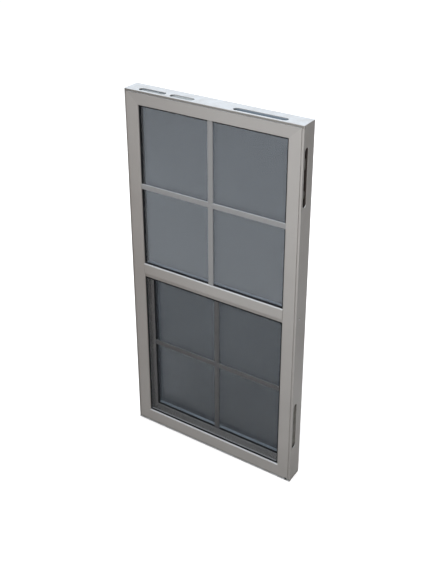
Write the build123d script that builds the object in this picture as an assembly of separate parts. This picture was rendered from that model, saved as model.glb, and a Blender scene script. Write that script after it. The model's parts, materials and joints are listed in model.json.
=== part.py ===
from build123d import *
import os

# Single hung window, seen from outside along +Y.
# X runs to the right, Y from the outer face to the room, Z up. All sizes are millimetres.
# The origin is on the underside of the sill, in the middle of the width and of the depth.

# Overall size of the frame
FRAME_WIDTH = 596.0
FRAME_HEIGHT = 1206.0
FRAME_DEPTH = 60.0

# Visible faces of the frame
JAMB_FACE = 46.5
HEAD_FACE = 44.7
SILL_FACE = 48.8
RAIL_BOTTOM = 580.8
RAIL_FACE = 47.6

# Walls and legs of the hollow frame profile
WALL = 2.0
LEG_DEPTH = 6.5
REBATE = 12.0
EDGE_BEVEL = 2.0
SASH_STOP_DEPTH = 33.0
TRACK_LIP = 5.0
TRACK_MOUTH = 20.0
WEB_PLACE = 17.0

# Groove for outside trim, all round the outer edge of the face
GROOVE_LAND = 1.5
GROOVE_WIDTH = 6.5
GROOVE_DEPTH = 4.0

# Sill profile behind its face
SCREEN_GUARD = 4.2
GUARD_WALL = 1.5
SILL_SHELF = 26.0
SILL_SHELF_FALL = 2.0
SILL_FLOOR = 12.0
WEEP_WIDTH = 5.0
WEEP_HEIGHT = 3.0
WEEP_INSET = 13.5

# Meeting rail
BAND_HEIGHT = 14.5
BAND_STEP = 1.0
BAND_RAKE = 4.0
INNER_LEG = 2.2
LEDGE_DROP = 25.0
LEDGE_DEPTH = 27.5
RAIL_FIXING_RADIUS = 3.0
RAIL_FIXING_DEPTH = 21.0
RAIL_FIXING_RISE = 21.2

# Routed slots in the outer walls: how far the two ends of each lie from the nearest end of the frame
SLOT_WIDTH = 21.0
SLOT_DEPTH_PLACE = 18.5
LEFT_HEAD_SLOTS = ((42.0, 136.0), (153.0, 235.0))
RIGHT_HEAD_SLOT = (58.0, 229.0)
LOW_JAMB_SLOT = (126.0, 294.0)
HIGH_JAMB_SLOT = (67.0, 244.0)

# Sealed glass units
PANE = 3.0
UNIT = 16.0
SPACER_WIDTH = 7.0
SPACER_SHOW = 5.0
GLASS_EDGE_GAP = 2.0
GASKET_WIDTH = 4.0
GASKET_DEPTH = 2.0

# Bars on the outside of the glass
BAR_WIDTH = 17.5
BAR_DEPTH = 4.0
BAR_BEVEL = 1.4
BAR_RISE = 3.5

# Glazing beads and sash stops
BEAD_BEVEL = 5.0
BEAD_WALL = 1.4
BEAD_SETBACK = 1.5

# Lower sash
SASH_DEPTH = 26.0
SASH_PLAY = 1.0
SASH_CLEARANCE = 2.0
SASH_OVERLAP = 13.2
SEAL_ROOM = 4.0
STILE_FACE = 31.5
BOTTOM_RAIL_FACE = 40.0
TOP_RAIL_FACE = 30.0
SASH_LEG = 4.0
SASH_BEVEL = 1.0
SASH_REBATE = 11.0
LIFT_REACH = 7.0
LIFT_THICKNESS = 2.5
LIFT_DROP = 7.0
PILE_GROOVE_WIDTH = 4.0
PILE_GROOVE_DEPTH = 2.5
PILE_PLACE = 6.0
CHECK_PILE_DROP = 16.0

# Half screen
SCREEN_RAIL = 10.0
SCREEN_DEPTH = 9.0
SCREEN_WALL = 1.0
SCREEN_ROOM = 1.5
MESH_THICKNESS = 0.35
SPLINE_WIDTH = 4.5
SPLINE_CORNER = 5.0

# Lock, keeper and tilt latches
LOCK_LENGTH = 60.0
LOCK_WIDTH = 20.0
LOCK_BASE = 4.0
LOCK_BOSS_RADIUS = 8.5
LOCK_BOSS_HEIGHT = 11.0
LOCK_LEVER_LENGTH = 34.0
LOCK_LEVER_HEIGHT = 4.0
LOCK_LEVER_INSET = 1.5
KEEPER_LENGTH = 44.0
KEEPER_HEIGHT = 7.0
KEEPER_WALL = 2.0
LATCH_LENGTH = 77.0
LATCH_WIDTH = 15.0
LATCH_HEIGHT = 9.0
LATCH_BUTTON = 20.0
LATCH_BUTTON_HEIGHT = 5.0
LATCH_BUTTON_INSET = 2.0
LATCH_OFFSET = 1.0
LATCH_BOLT_REACH = 8.0
LATCH_INSET = 16.0

# Balances in the jamb tracks
BALANCE_WIDTH = 16.0
BALANCE_REACH = 12.0
BALANCE_WALL = 1.2
BALANCE_LENGTH = 380.0
BALANCE_GAP = 6.0
SHOE_HEIGHT = 40.0
SHOE_FOOT = 20.0
PIVOT_WIDTH = 10.0
PIVOT_HEIGHT = 5.0

# Setting blocks under the glass
BLOCK_LENGTH = 40.0
BLOCK_PLACE = 0.25

# Clearances, and how far a cutting block stands past what it cuts
FIT = 0.2
SEAT = 0.1
CUT = 1.0

# Places worked out from the sizes
FRONT = -FRAME_DEPTH / 2
HALF_WIDTH = FRAME_WIDTH / 2
LIGHT_HALF = HALF_WIDTH - JAMB_FACE
LIGHT_TOP = FRAME_HEIGHT - HEAD_FACE
RAIL_TOP = RAIL_BOTTOM + RAIL_FACE
SASH_FRONT = SASH_STOP_DEPTH + SASH_PLAY
SASH_BOTTOM = SILL_FLOOR + SEAL_ROOM
SASH_TOP = RAIL_BOTTOM + SASH_OVERLAP
SASH_HALF = HALF_WIDTH - TRACK_MOUTH - SASH_CLEARANCE
SASH_LIGHT_HALF = SASH_HALF - STILE_FACE
SASH_LIGHT_BOTTOM = SASH_BOTTOM + BOTTOM_RAIL_FACE
SASH_LIGHT_TOP = SASH_TOP - TOP_RAIL_FACE
HEAD_SLOTS = [*LEFT_HEAD_SLOTS, (FRAME_WIDTH - RIGHT_HEAD_SLOT[1], FRAME_WIDTH - RIGHT_HEAD_SLOT[0])]
JAMB_SLOTS = [LOW_JAMB_SLOT, (FRAME_HEIGHT - HIGH_JAMB_SLOT[1], FRAME_HEIGHT - HIGH_JAMB_SLOT[0])]


# A closed face from a list of points, less any chambers
def section(outline, chambers=()):
    face = make_face(Polyline(*outline, close=True))
    for chamber in chambers:
        face -= make_face(Polyline(*chamber, close=True))
    return face


# The four corners of a rectangle in a section
def rectangle(low_u, low_v, high_u, high_v):
    return [(low_u, low_v), (high_u, low_v), (high_u, high_v), (low_u, high_v)]


# A box between two corners, in the frame's own places, with depth counted from the outer face
def block(low_x, low_depth, low_z, high_x, high_depth, high_z):
    size = (high_x - low_x, high_depth - low_depth, high_z - low_z)
    middle = ((high_x + low_x) / 2, FRONT + (high_depth + low_depth) / 2, (high_z + low_z) / 2)
    return Pos(*middle) * Box(*size)


# A plate cut to an outline drawn in X and Z, between two depths
def plate(outline, low_depth, high_depth):
    plane = Plane(origin=(0, FRONT + high_depth, 0), x_dir=(1, 0, 0), z_dir=(0, -1, 0))
    return extrude(plane * make_face(Polyline(*outline, close=True)), amount=high_depth - low_depth)


# A flat ring that follows a rectangle
def ring(half, bottom, top, width, low_depth, high_depth, corner=0.0):
    outer = block(-half, low_depth, bottom, half, high_depth, top)
    inner_half = half - width
    start, end = low_depth - CUT, high_depth + CUT
    inner = block(-inner_half, start, bottom + width, inner_half, end, top - width)
    if corner > 0:
        inner = fillet(inner.edges().filter_by(Axis.Y), corner)
    return outer - inner


# Hollow bars laid along the four sides, with the section's first axis pointing into the opening
def left_bar(face, half, bottom, top, depth):
    plane = Plane(origin=(-half, FRONT + depth, bottom), x_dir=(1, 0, 0), z_dir=(0, 0, 1))
    return extrude(plane * face, amount=top - bottom)


def top_bar(face, half, top, depth):
    plane = Plane(origin=(-half, FRONT + depth, top), x_dir=(0, 0, -1), z_dir=(1, 0, 0))
    return extrude(plane * face, amount=2 * half)


def bottom_bar(face, half, bottom, depth):
    plane = Plane(origin=(half, FRONT + depth, bottom), x_dir=(0, 0, 1), z_dir=(-1, 0, 0))
    return extrude(plane * face, amount=2 * half)


# The room that each mitred bar keeps: side is left, top or bottom
def mitre(bar, side, half, bottom, top, faces, low_depth, high_depth):
    side_face, bottom_face, top_face = faces
    low_left, low_right = (-half, bottom), (half, bottom)
    high_left, high_right = (-half, top), (half, top)
    inner_low_left = (-half + side_face, bottom + bottom_face)
    inner_low_right = (half - side_face, bottom + bottom_face)
    inner_high_left = (-half + side_face, top - top_face)
    inner_high_right = (half - side_face, top - top_face)
    rooms = {
        "left": [low_left, inner_low_left, inner_high_left, high_left],
        "top": [high_left, inner_high_left, inner_high_right, high_right],
        "bottom": [low_left, low_right, inner_low_right, inner_low_left],
    }
    return bar & plate(rooms[side], low_depth, high_depth)


def right_of(shape):
    return mirror(shape, about=Plane.YZ)


# Frame face with the trim groove at its outer edge, shared by all four frame profiles
def face_points(face):
    groove_end = GROOVE_LAND + GROOVE_WIDTH
    return [
        (0, 0),
        (GROOVE_LAND, 0),
        (GROOVE_LAND, GROOVE_DEPTH),
        (groove_end, GROOVE_DEPTH),
        (groove_end, 0),
        (face - EDGE_BEVEL, 0),
        (face, EDGE_BEVEL),
        (face, LEG_DEPTH),
        (face - REBATE, LEG_DEPTH),
    ]


# Chamber that runs behind the trim groove and comes forward beside it
def chamber_behind_groove(high_u, back):
    groove_side = GROOVE_LAND + GROOVE_WIDTH + WALL
    groove_back = GROOVE_DEPTH + WALL
    return [
        (WALL, groove_back),
        (groove_side, groove_back),
        (groove_side, WALL),
        (high_u, WALL),
        (high_u, back),
        (WALL, back),
    ]


# Profile of the head and jambs: face leg, glazing rebate, hollow body and open sash track
def jamb_section(face):
    rebate_wall = face - REBATE
    track_wall = TRACK_MOUTH - WALL
    outline = face_points(face) + [
        (rebate_wall, SASH_STOP_DEPTH),
        (TRACK_MOUTH, SASH_STOP_DEPTH),
        (TRACK_MOUTH, SASH_STOP_DEPTH + TRACK_LIP),
        (track_wall, SASH_STOP_DEPTH + TRACK_LIP),
        (track_wall, SASH_STOP_DEPTH),
        (WALL, SASH_STOP_DEPTH),
        (WALL, FRAME_DEPTH - WALL),
        (track_wall, FRAME_DEPTH - WALL),
        (track_wall, FRAME_DEPTH - WALL - TRACK_LIP),
        (TRACK_MOUTH, FRAME_DEPTH - WALL - TRACK_LIP),
        (TRACK_MOUTH, FRAME_DEPTH),
        (0, FRAME_DEPTH),
    ]
    back = SASH_STOP_DEPTH - WALL
    outer_chamber = chamber_behind_groove(WEB_PLACE - WALL / 2, back)
    inner_chamber = rectangle(WEB_PLACE + WALL / 2, WALL, rebate_wall - WALL, back)
    leg_chamber = rectangle(rebate_wall, WALL, face - WALL, LEG_DEPTH - WALL)
    return section(outline, [outer_chamber, inner_chamber, leg_chamber])


# Profile of the sill: face leg, screen channel, shelf that sheds water outwards and sash floor
def sill_section():
    channel_floor = SILL_FACE - REBATE
    channel_end = LEG_DEPTH + SCREEN_DEPTH + SCREEN_ROOM
    guard_end = channel_end + GUARD_WALL
    outline = face_points(SILL_FACE) + [
        (channel_floor, channel_end),
        (channel_floor + SCREEN_GUARD, channel_end),
        (channel_floor + SCREEN_GUARD, guard_end),
        (SILL_SHELF - SILL_SHELF_FALL, guard_end),
        (SILL_SHELF, SASH_STOP_DEPTH),
        (SILL_FLOOR, SASH_STOP_DEPTH),
        (SILL_FLOOR, FRAME_DEPTH),
        (0, FRAME_DEPTH),
    ]
    front_chamber = chamber_behind_groove(channel_floor - WALL, guard_end - WALL)
    shelf_chamber = rectangle(WALL, guard_end, SILL_SHELF - SILL_SHELF_FALL - WALL, SASH_STOP_DEPTH - WALL)
    floor_chamber = rectangle(WALL, SASH_STOP_DEPTH, SILL_FLOOR - WALL, FRAME_DEPTH - WALL)
    leg_chamber = rectangle(channel_floor, WALL, SILL_FACE - WALL, LEG_DEPTH - WALL)
    return section(outline, [front_chamber, shelf_chamber, floor_chamber, leg_chamber])


def frame_mitre(bar, side):
    faces = (JAMB_FACE, SILL_FACE, HEAD_FACE)
    return mitre(bar, side, HALF_WIDTH, 0, FRAME_HEIGHT, faces, -CUT, FRAME_DEPTH + CUT)


# A slot with round ends through the outer wall, standing past it both ways
def slot_cutter(length):
    return extrude(SlotOverall(length, SLOT_WIDTH), amount=WALL, both=True)


def frame_head():
    bar = frame_mitre(top_bar(jamb_section(HEAD_FACE), HALF_WIDTH, FRAME_HEIGHT, 0), "top")
    for start, end in HEAD_SLOTS:
        place = (start + end) / 2 - HALF_WIDTH
        bar -= Pos(place, FRONT + SLOT_DEPTH_PLACE, FRAME_HEIGHT) * slot_cutter(end - start)
    return bar


def frame_left_jamb():
    bar = frame_mitre(left_bar(jamb_section(JAMB_FACE), HALF_WIDTH, 0, FRAME_HEIGHT, 0), "left")
    for start, end in JAMB_SLOTS:
        place = Pos(-HALF_WIDTH, FRONT + SLOT_DEPTH_PLACE, (start + end) / 2)
        bar -= place * Rot(0, 90, 0) * slot_cutter(end - start)
    hole = Rot(0, 90, 0) * Cylinder(RAIL_FIXING_RADIUS, 2 * WALL)
    bar -= Pos(-HALF_WIDTH, FRONT + RAIL_FIXING_DEPTH, RAIL_BOTTOM + RAIL_FIXING_RISE) * hole
    return bar


def frame_sill():
    bar = frame_mitre(bottom_bar(sill_section(), HALF_WIDTH, 0, 0), "bottom")
    for side in (-1, 1):
        middle = side * (HALF_WIDTH - WEEP_INSET)
        start, end = middle - WEEP_WIDTH / 2, middle + WEEP_WIDTH / 2
        low_z = GROOVE_LAND + GROOVE_WIDTH
        bar -= block(start, -CUT, low_z, end, WALL + CUT, low_z + WEEP_HEIGHT)
    return bar


# Meeting rail: glazing channel on top, sloped inner leg, ledge for the keeper, screen channel below
def meeting_rail_section():
    channel_floor = RAIL_FACE - REBATE
    screen_back = LEG_DEPTH + SCREEN_DEPTH + SCREEN_ROOM
    unit_back = LEG_DEPTH + FIT + UNIT + FIT
    ledge = RAIL_FACE - LEDGE_DROP
    outline = [
        (0, BAND_STEP + BAND_RAKE),
        (BAND_HEIGHT - BAND_STEP, BAND_STEP),
        (BAND_HEIGHT, 0),
        (RAIL_FACE - EDGE_BEVEL, 0),
        (RAIL_FACE, EDGE_BEVEL),
        (RAIL_FACE, LEG_DEPTH),
        (channel_floor, LEG_DEPTH),
        (channel_floor, unit_back),
        (RAIL_FACE - BEAD_SETBACK, unit_back),
        (RAIL_FACE - BEAD_SETBACK, unit_back + INNER_LEG),
        (ledge, LEDGE_DEPTH),
        (ledge, SASH_STOP_DEPTH),
        (0, SASH_STOP_DEPTH),
        (0, screen_back),
        (REBATE, screen_back),
        (REBATE, LEG_DEPTH),
        (0, LEG_DEPTH),
    ]
    chamber = rectangle(REBATE + WALL, WALL + BAND_STEP, channel_floor - WALL, unit_back - WALL)
    rear_chamber = rectangle(WALL, screen_back + WALL, REBATE, SASH_STOP_DEPTH - WALL)
    ledge_chamber = rectangle(REBATE + WALL, unit_back, ledge - WALL, SASH_STOP_DEPTH - WALL)
    return section(outline, [chamber, rear_chamber, ledge_chamber])


# The rail runs into the jamb rebates behind the face, and its face is cut back between the jamb legs
def meeting_rail():
    tongue = LIGHT_HALF + REBATE - FIT
    bar = bottom_bar(meeting_rail_section(), tongue, RAIL_BOTTOM, 0)
    for side in (-1, 1):
        start, end = sorted((side * (LIGHT_HALF - SEAT), side * (tongue + CUT)))
        bar -= block(start, -CUT, RAIL_BOTTOM - CUT, end, LEG_DEPTH + SEAT, RAIL_TOP + CUT)
    return bar


# One pane of a sealed unit that reaches into the rebates
def pane(half, bottom, top, low_depth):
    return block(-half, low_depth, bottom, half, low_depth + PANE, top)


# Upper light
UNIT_BITE = REBATE - GLASS_EDGE_GAP
UPPER_HALF = LIGHT_HALF + UNIT_BITE
UPPER_LOW = RAIL_TOP - UNIT_BITE
UPPER_HIGH = LIGHT_TOP + UNIT_BITE
UPPER_OUTER = LEG_DEPTH + FIT
UPPER_INNER = UPPER_OUTER + UNIT - PANE


# A spacer lies between the two panes, and its inner part shows round the light
def glass_spacer(half, bottom, top, outer_depth, inner_depth):
    hidden = SPACER_WIDTH - SPACER_SHOW
    low, high = bottom - hidden, top + hidden
    return ring(half + hidden, low, high, SPACER_WIDTH, outer_depth + PANE + SEAT, inner_depth - SEAT)


# A bar with bevelled edges along X or Z, lying on the glass
def glazing_bar(length, upright, depth):
    half = BAR_WIDTH / 2
    flat = half - BAR_BEVEL
    left_edge = [(-half, BAR_DEPTH), (-half, BAR_BEVEL), (-flat, 0)]
    right_edge = [(flat, 0), (half, BAR_BEVEL), (half, BAR_DEPTH)]
    face = section(left_edge + right_edge)
    if upright:
        plane = Plane(origin=(0, FRONT + depth, 0), x_dir=(1, 0, 0), z_dir=(0, 0, 1))
    else:
        plane = Plane(origin=(0, FRONT + depth, 0), x_dir=(0, 0, -1), z_dir=(1, 0, 0))
    return extrude(plane * face, amount=length / 2, both=True)


# The level bar lies a little above the middle of its light
def bar_height(bottom, top):
    return (bottom + top) / 2 + BAR_RISE


# A cross of bars, halved together where they meet
def grille(half, bottom, top, depth):
    upright = Pos(0, 0, (bottom + top) / 2) * glazing_bar(top - bottom - 2 * SEAT, True, depth)
    level = Pos(0, 0, bar_height(bottom, top)) * glazing_bar(2 * half - 2 * SEAT, False, depth)
    return upright + level


# A black seal between the leg and the glass, cut away where the bars cross it
def glass_gasket(half, bottom, top, high_depth):
    low_depth = high_depth - GASKET_DEPTH
    seal = ring(half - SEAT, bottom + SEAT, top - SEAT, GASKET_WIDTH, low_depth, high_depth)
    notch = BAR_WIDTH / 2 + SEAT
    middle = bar_height(bottom, top)
    start, end = low_depth - CUT, high_depth + CUT
    seal -= block(-notch, start, bottom - CUT, notch, end, top + CUT)
    seal -= block(-half - CUT, start, middle - notch, half + CUT, end, middle + notch)
    return seal


# A hollow glazing bead or sash stop, in a section that starts at the rebate wall
def bead_section(reach, low_depth, high_depth):
    high = reach - BEAD_SETBACK
    outline = [
        (FIT, low_depth),
        (high, low_depth),
        (high, high_depth - BEAD_BEVEL),
        (high - BEAD_BEVEL, high_depth),
        (FIT, high_depth),
    ]
    chamber = [
        (FIT + BEAD_WALL, low_depth + BEAD_WALL),
        (high - BEAD_WALL, low_depth + BEAD_WALL),
        (high - BEAD_WALL, high_depth - BEAD_BEVEL - BEAD_WALL / 2),
        (high - BEAD_BEVEL - BEAD_WALL / 2, high_depth - BEAD_WALL),
        (FIT + BEAD_WALL, high_depth - BEAD_WALL),
    ]
    return section(outline, [chamber])


# Three beads hold the upper unit: the side beads stand between the head bead and the meeting rail
BEAD_LOW = UPPER_INNER + PANE + FIT
BEAD_HIGH = SASH_STOP_DEPTH - FIT


def upper_head_bead():
    half = LIGHT_HALF + REBATE - FIT
    return top_bar(bead_section(REBATE, BEAD_LOW, BEAD_HIGH), half, LIGHT_TOP + REBATE, 0)


def upper_left_bead():
    half = LIGHT_HALF + REBATE
    top = LIGHT_TOP + BEAD_SETBACK - SEAT
    return left_bar(bead_section(REBATE, BEAD_LOW, BEAD_HIGH), half, RAIL_TOP + SEAT, top, 0)


# The stops beside the lower light carry on the line of the beads down to the sill
def lower_left_stop():
    half = LIGHT_HALF + REBATE
    return left_bar(
        bead_section(REBATE, BEAD_LOW, BEAD_HIGH), half, SILL_FACE + SEAT, RAIL_BOTTOM - SEAT, 0
    )


# Profile of the sash bars: front leg, rebate for the unit and hollow body
def sash_section(face):
    rebate_wall = face - SASH_REBATE
    outline = [
        (0, 0),
        (face - SASH_BEVEL, 0),
        (face, SASH_BEVEL),
        (face, SASH_LEG),
        (rebate_wall, SASH_LEG),
        (rebate_wall, SASH_DEPTH),
        (0, SASH_DEPTH),
    ]
    chamber = rectangle(WALL, PILE_GROOVE_DEPTH + WALL, rebate_wall - WALL, SASH_DEPTH - WALL)
    return section(outline, [chamber])


# The bottom rail has a lift lip on the room side
def bottom_rail_section():
    lift_top = BOTTOM_RAIL_FACE - SASH_REBATE
    lip = [
        (lift_top, SASH_DEPTH),
        (lift_top, SASH_DEPTH + LIFT_REACH),
        (lift_top - LIFT_DROP, SASH_DEPTH + LIFT_REACH),
        (lift_top - LIFT_DROP, SASH_DEPTH + LIFT_REACH - LIFT_THICKNESS),
        (lift_top - LIFT_THICKNESS, SASH_DEPTH + LIFT_REACH - LIFT_THICKNESS),
        (lift_top - LIFT_THICKNESS, SASH_DEPTH),
    ]
    return sash_section(BOTTOM_RAIL_FACE) + section(lip)


def sash_mitre(bar, side):
    faces = (STILE_FACE, BOTTOM_RAIL_FACE, TOP_RAIL_FACE)
    room_end = SASH_FRONT + SASH_DEPTH + LIFT_REACH + CUT
    return mitre(bar, side, SASH_HALF, SASH_BOTTOM, SASH_TOP, faces, SASH_FRONT - CUT, room_end)


# Side piles sit in grooves near the outer edge of each stile
def side_pile_place():
    return SASH_HALF - PILE_PLACE - PILE_GROOVE_WIDTH


def sash_left_stile():
    bar = left_bar(sash_section(STILE_FACE), SASH_HALF, SASH_BOTTOM, SASH_TOP, SASH_FRONT)
    bar = sash_mitre(bar, "left")
    start = side_pile_place()
    groove_end = SASH_FRONT + PILE_GROOVE_DEPTH
    return bar - block(-start - PILE_GROOVE_WIDTH, SASH_FRONT - CUT, 0, -start, groove_end, SASH_TOP)


def sash_top_rail():
    bar = sash_mitre(top_bar(sash_section(TOP_RAIL_FACE), SASH_HALF, SASH_TOP, SASH_FRONT), "top")
    low = SASH_TOP - CHECK_PILE_DROP
    high = low + PILE_GROOVE_WIDTH
    half = side_pile_place() - 2 * PILE_GROOVE_WIDTH
    return bar - block(-half, SASH_FRONT - CUT, low, half, SASH_FRONT + PILE_GROOVE_DEPTH, high)


def sash_bottom_rail():
    return sash_mitre(bottom_bar(bottom_rail_section(), SASH_HALF, SASH_BOTTOM, SASH_FRONT), "bottom")


# Glass of the sash
SASH_UNIT_BITE = SASH_REBATE - GLASS_EDGE_GAP
SASH_UNIT_HALF = SASH_LIGHT_HALF + SASH_UNIT_BITE
SASH_UNIT_LOW = SASH_LIGHT_BOTTOM - SASH_UNIT_BITE
SASH_UNIT_HIGH = SASH_LIGHT_TOP + SASH_UNIT_BITE
SASH_OUTER = SASH_FRONT + SASH_LEG + FIT
SASH_INNER = SASH_OUTER + UNIT - PANE


# Beads on the room side of the sash
SASH_BEAD_LOW = SASH_INNER + PANE + FIT
SASH_BEAD_HIGH = SASH_FRONT + SASH_DEPTH


def sash_bead_section():
    high = SASH_REBATE - BEAD_SETBACK
    bevel = (SASH_BEAD_HIGH - SASH_BEAD_LOW) / 2
    outline = [
        (FIT, SASH_BEAD_LOW),
        (high, SASH_BEAD_LOW),
        (high, SASH_BEAD_HIGH - bevel),
        (high - bevel, SASH_BEAD_HIGH),
        (FIT, SASH_BEAD_HIGH),
    ]
    return section(outline)


def sash_top_bead():
    half = SASH_LIGHT_HALF + SASH_REBATE - FIT
    return top_bar(sash_bead_section(), half, SASH_LIGHT_TOP + SASH_REBATE, 0)


def sash_bottom_bead():
    half = SASH_LIGHT_HALF + SASH_REBATE - FIT
    return bottom_bar(sash_bead_section(), half, SASH_LIGHT_BOTTOM - SASH_REBATE, 0)


def sash_left_bead():
    half = SASH_LIGHT_HALF + SASH_REBATE
    low = SASH_LIGHT_BOTTOM - BEAD_SETBACK + SEAT
    high = SASH_LIGHT_TOP + BEAD_SETBACK - SEAT
    return left_bar(sash_bead_section(), half, low, high, 0)


# Half screen: hollow rails mitred together, mesh over their front and a black spline round its edge
SCREEN_FRONT = LEG_DEPTH + MESH_THICKNESS + 2 * SEAT
SCREEN_HALF = LIGHT_HALF + SCREEN_RAIL - FIT
SCREEN_LOW = SILL_FACE - SCREEN_RAIL
SCREEN_HIGH = RAIL_BOTTOM + SCREEN_RAIL - FIT


def screen_section():
    chamber = rectangle(SCREEN_WALL, SCREEN_WALL, SCREEN_RAIL - SCREEN_WALL, SCREEN_DEPTH - SCREEN_WALL)
    return section(rectangle(0, 0, SCREEN_RAIL, SCREEN_DEPTH), [chamber])


def screen_mitre(bar, side):
    faces = (SCREEN_RAIL, SCREEN_RAIL, SCREEN_RAIL)
    room_end = SCREEN_FRONT + SCREEN_DEPTH + CUT
    return mitre(bar, side, SCREEN_HALF, SCREEN_LOW, SCREEN_HIGH, faces, SCREEN_FRONT - CUT, room_end)


def screen_left_rail():
    bar = left_bar(screen_section(), SCREEN_HALF, SCREEN_LOW, SCREEN_HIGH, SCREEN_FRONT)
    return screen_mitre(bar, "left")


def screen_top_rail():
    return screen_mitre(top_bar(screen_section(), SCREEN_HALF, SCREEN_HIGH, SCREEN_FRONT), "top")


def screen_bottom_rail():
    return screen_mitre(bottom_bar(screen_section(), SCREEN_HALF, SCREEN_LOW, SCREEN_FRONT), "bottom")


def screen_mesh():
    low_depth = LEG_DEPTH + SEAT
    half = SCREEN_HALF - SCREEN_WALL
    low, high = SCREEN_LOW + SCREEN_WALL, SCREEN_HIGH - SCREEN_WALL
    return block(-half, low_depth, low, half, low_depth + MESH_THICKNESS, high)


def screen_spline():
    low, high = SILL_FACE + SEAT, RAIL_BOTTOM - SEAT
    low_depth = LEG_DEPTH - GASKET_DEPTH
    return ring(LIGHT_HALF - SEAT, low, high, SPLINE_WIDTH, low_depth, LEG_DEPTH, SPLINE_CORNER)


# Cam lock on the top rail: rounded base, round housing and a lever that lies along the rail
def sash_lock():
    middle_depth = FRONT + SASH_FRONT + SASH_DEPTH / 2
    base = extrude(SlotOverall(LOCK_LENGTH, LOCK_WIDTH), amount=LOCK_BASE)
    boss = Pos(0, 0, LOCK_BASE) * extrude(Circle(LOCK_BOSS_RADIUS), amount=LOCK_BOSS_HEIGHT)
    boss = fillet(boss.edges().sort_by(Axis.Z)[-1], LOCK_LEVER_HEIGHT / 3)
    lever_root = Circle(LOCK_BOSS_RADIUS - LOCK_LEVER_INSET)
    lever_tip = Pos(LOCK_LEVER_LENGTH, 0) * Circle(LOCK_BOSS_RADIUS / 2)
    lever_outline = make_hull([*lever_root.edges(), *lever_tip.edges()])
    lever_low = LOCK_BASE + LOCK_BOSS_HEIGHT - 2 * LOCK_LEVER_HEIGHT
    lever = Pos(0, 0, lever_low) * extrude(lever_outline, amount=LOCK_LEVER_HEIGHT)
    return Pos(0, middle_depth, SASH_TOP + SEAT) * (base + boss + lever)


# Keeper on the ledge of the meeting rail: a low arch that is open towards the lock
def lock_keeper():
    low_z = RAIL_TOP - LEDGE_DROP + SEAT
    low_depth = LEDGE_DEPTH + SEAT
    high_depth = SASH_STOP_DEPTH
    half = KEEPER_LENGTH / 2
    body = block(-half, low_depth, low_z, half, high_depth, low_z + KEEPER_HEIGHT)
    body = chamfer(body.edges().filter_by(Axis.Y).sort_by(Axis.Z)[-2:], KEEPER_WALL)
    room = block(
        -half / 2,
        low_depth + KEEPER_WALL,
        low_z + KEEPER_WALL,
        half / 2,
        high_depth + CUT,
        low_z + KEEPER_HEIGHT - KEEPER_WALL,
    )
    return body - room


# Tilt latch on the top rail: body with a thumb button, and a bolt that reaches into the jamb track
def left_tilt_latch():
    middle = SASH_FRONT + SASH_DEPTH / 2 + LATCH_OFFSET
    low, high = middle - LATCH_WIDTH / 2, middle + LATCH_WIDTH / 2
    low_z = SASH_TOP + SEAT
    inner_end = -SASH_HALF + LATCH_LENGTH
    body = block(-SASH_HALF, low, low_z, inner_end, high, low_z + LATCH_HEIGHT)
    body = chamfer(body.edges().filter_by(Axis.X).sort_by(Axis.Z)[-2:], LATCH_HEIGHT / 5)
    button_end = inner_end - LATCH_INSET / 2
    button_top = low_z + LATCH_HEIGHT + LATCH_BUTTON_HEIGHT
    button_start = button_end - LATCH_BUTTON
    button_low, button_high = low + LATCH_BUTTON_INSET, high - LATCH_BUTTON_INSET
    button = block(button_start, button_low, low_z, button_end, button_high, button_top)
    button = fillet(button.edges().filter_by(Axis.Y).sort_by(Axis.Z)[-2:], LATCH_BUTTON_HEIGHT / 3)
    bolt_tip = -SASH_HALF - LATCH_BOLT_REACH
    bolt_low, bolt_high = middle - LATCH_WIDTH / 4, middle + LATCH_WIDTH / 4
    bolt = block(bolt_tip, bolt_low, low_z, -SASH_HALF, bolt_high, low_z + LATCH_HEIGHT / 2)
    return body + button + bolt


# Balance: a steel channel seated on the floor of the jamb track
def left_balance():
    start = -HALF_WIDTH + WALL + FIT
    middle = (SASH_STOP_DEPTH + FRAME_DEPTH - WALL) / 2
    low, high = middle - BALANCE_WIDTH / 2, middle + BALANCE_WIDTH / 2
    low_z = SHOE_FOOT + SHOE_HEIGHT + BALANCE_GAP
    high_z = low_z + BALANCE_LENGTH
    channel = block(start, low, low_z, start + BALANCE_REACH, high, high_z)
    room = block(
        start + BALANCE_WALL,
        low + BALANCE_WALL,
        low_z - CUT,
        start + BALANCE_REACH + CUT,
        high - BALANCE_WALL,
        high_z + CUT,
    )
    return channel - room


# Shoe in the track below the balance, with the flat pivot bar of the sash
def left_pivot_shoe():
    start = -HALF_WIDTH + WALL + FIT
    end = -HALF_WIDTH + TRACK_MOUTH - WALL - FIT
    low, high = SASH_STOP_DEPTH + FIT, FRAME_DEPTH - WALL - FIT
    middle = (low + high) / 2
    low_z, high_z = SHOE_FOOT, SHOE_FOOT + SHOE_HEIGHT
    shoe = block(start, low, low_z, end, high, high_z)
    shoe = chamfer(shoe.edges().filter_by(Axis.Y), WALL)
    pivot_z = (low_z + high_z) / 2
    pivot = block(
        end - CUT,
        middle - PIVOT_WIDTH / 2,
        pivot_z - PIVOT_HEIGHT / 2,
        -SASH_HALF - FIT,
        middle + PIVOT_WIDTH / 2,
        pivot_z + PIVOT_HEIGHT / 2,
    )
    return shoe + pivot


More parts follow.
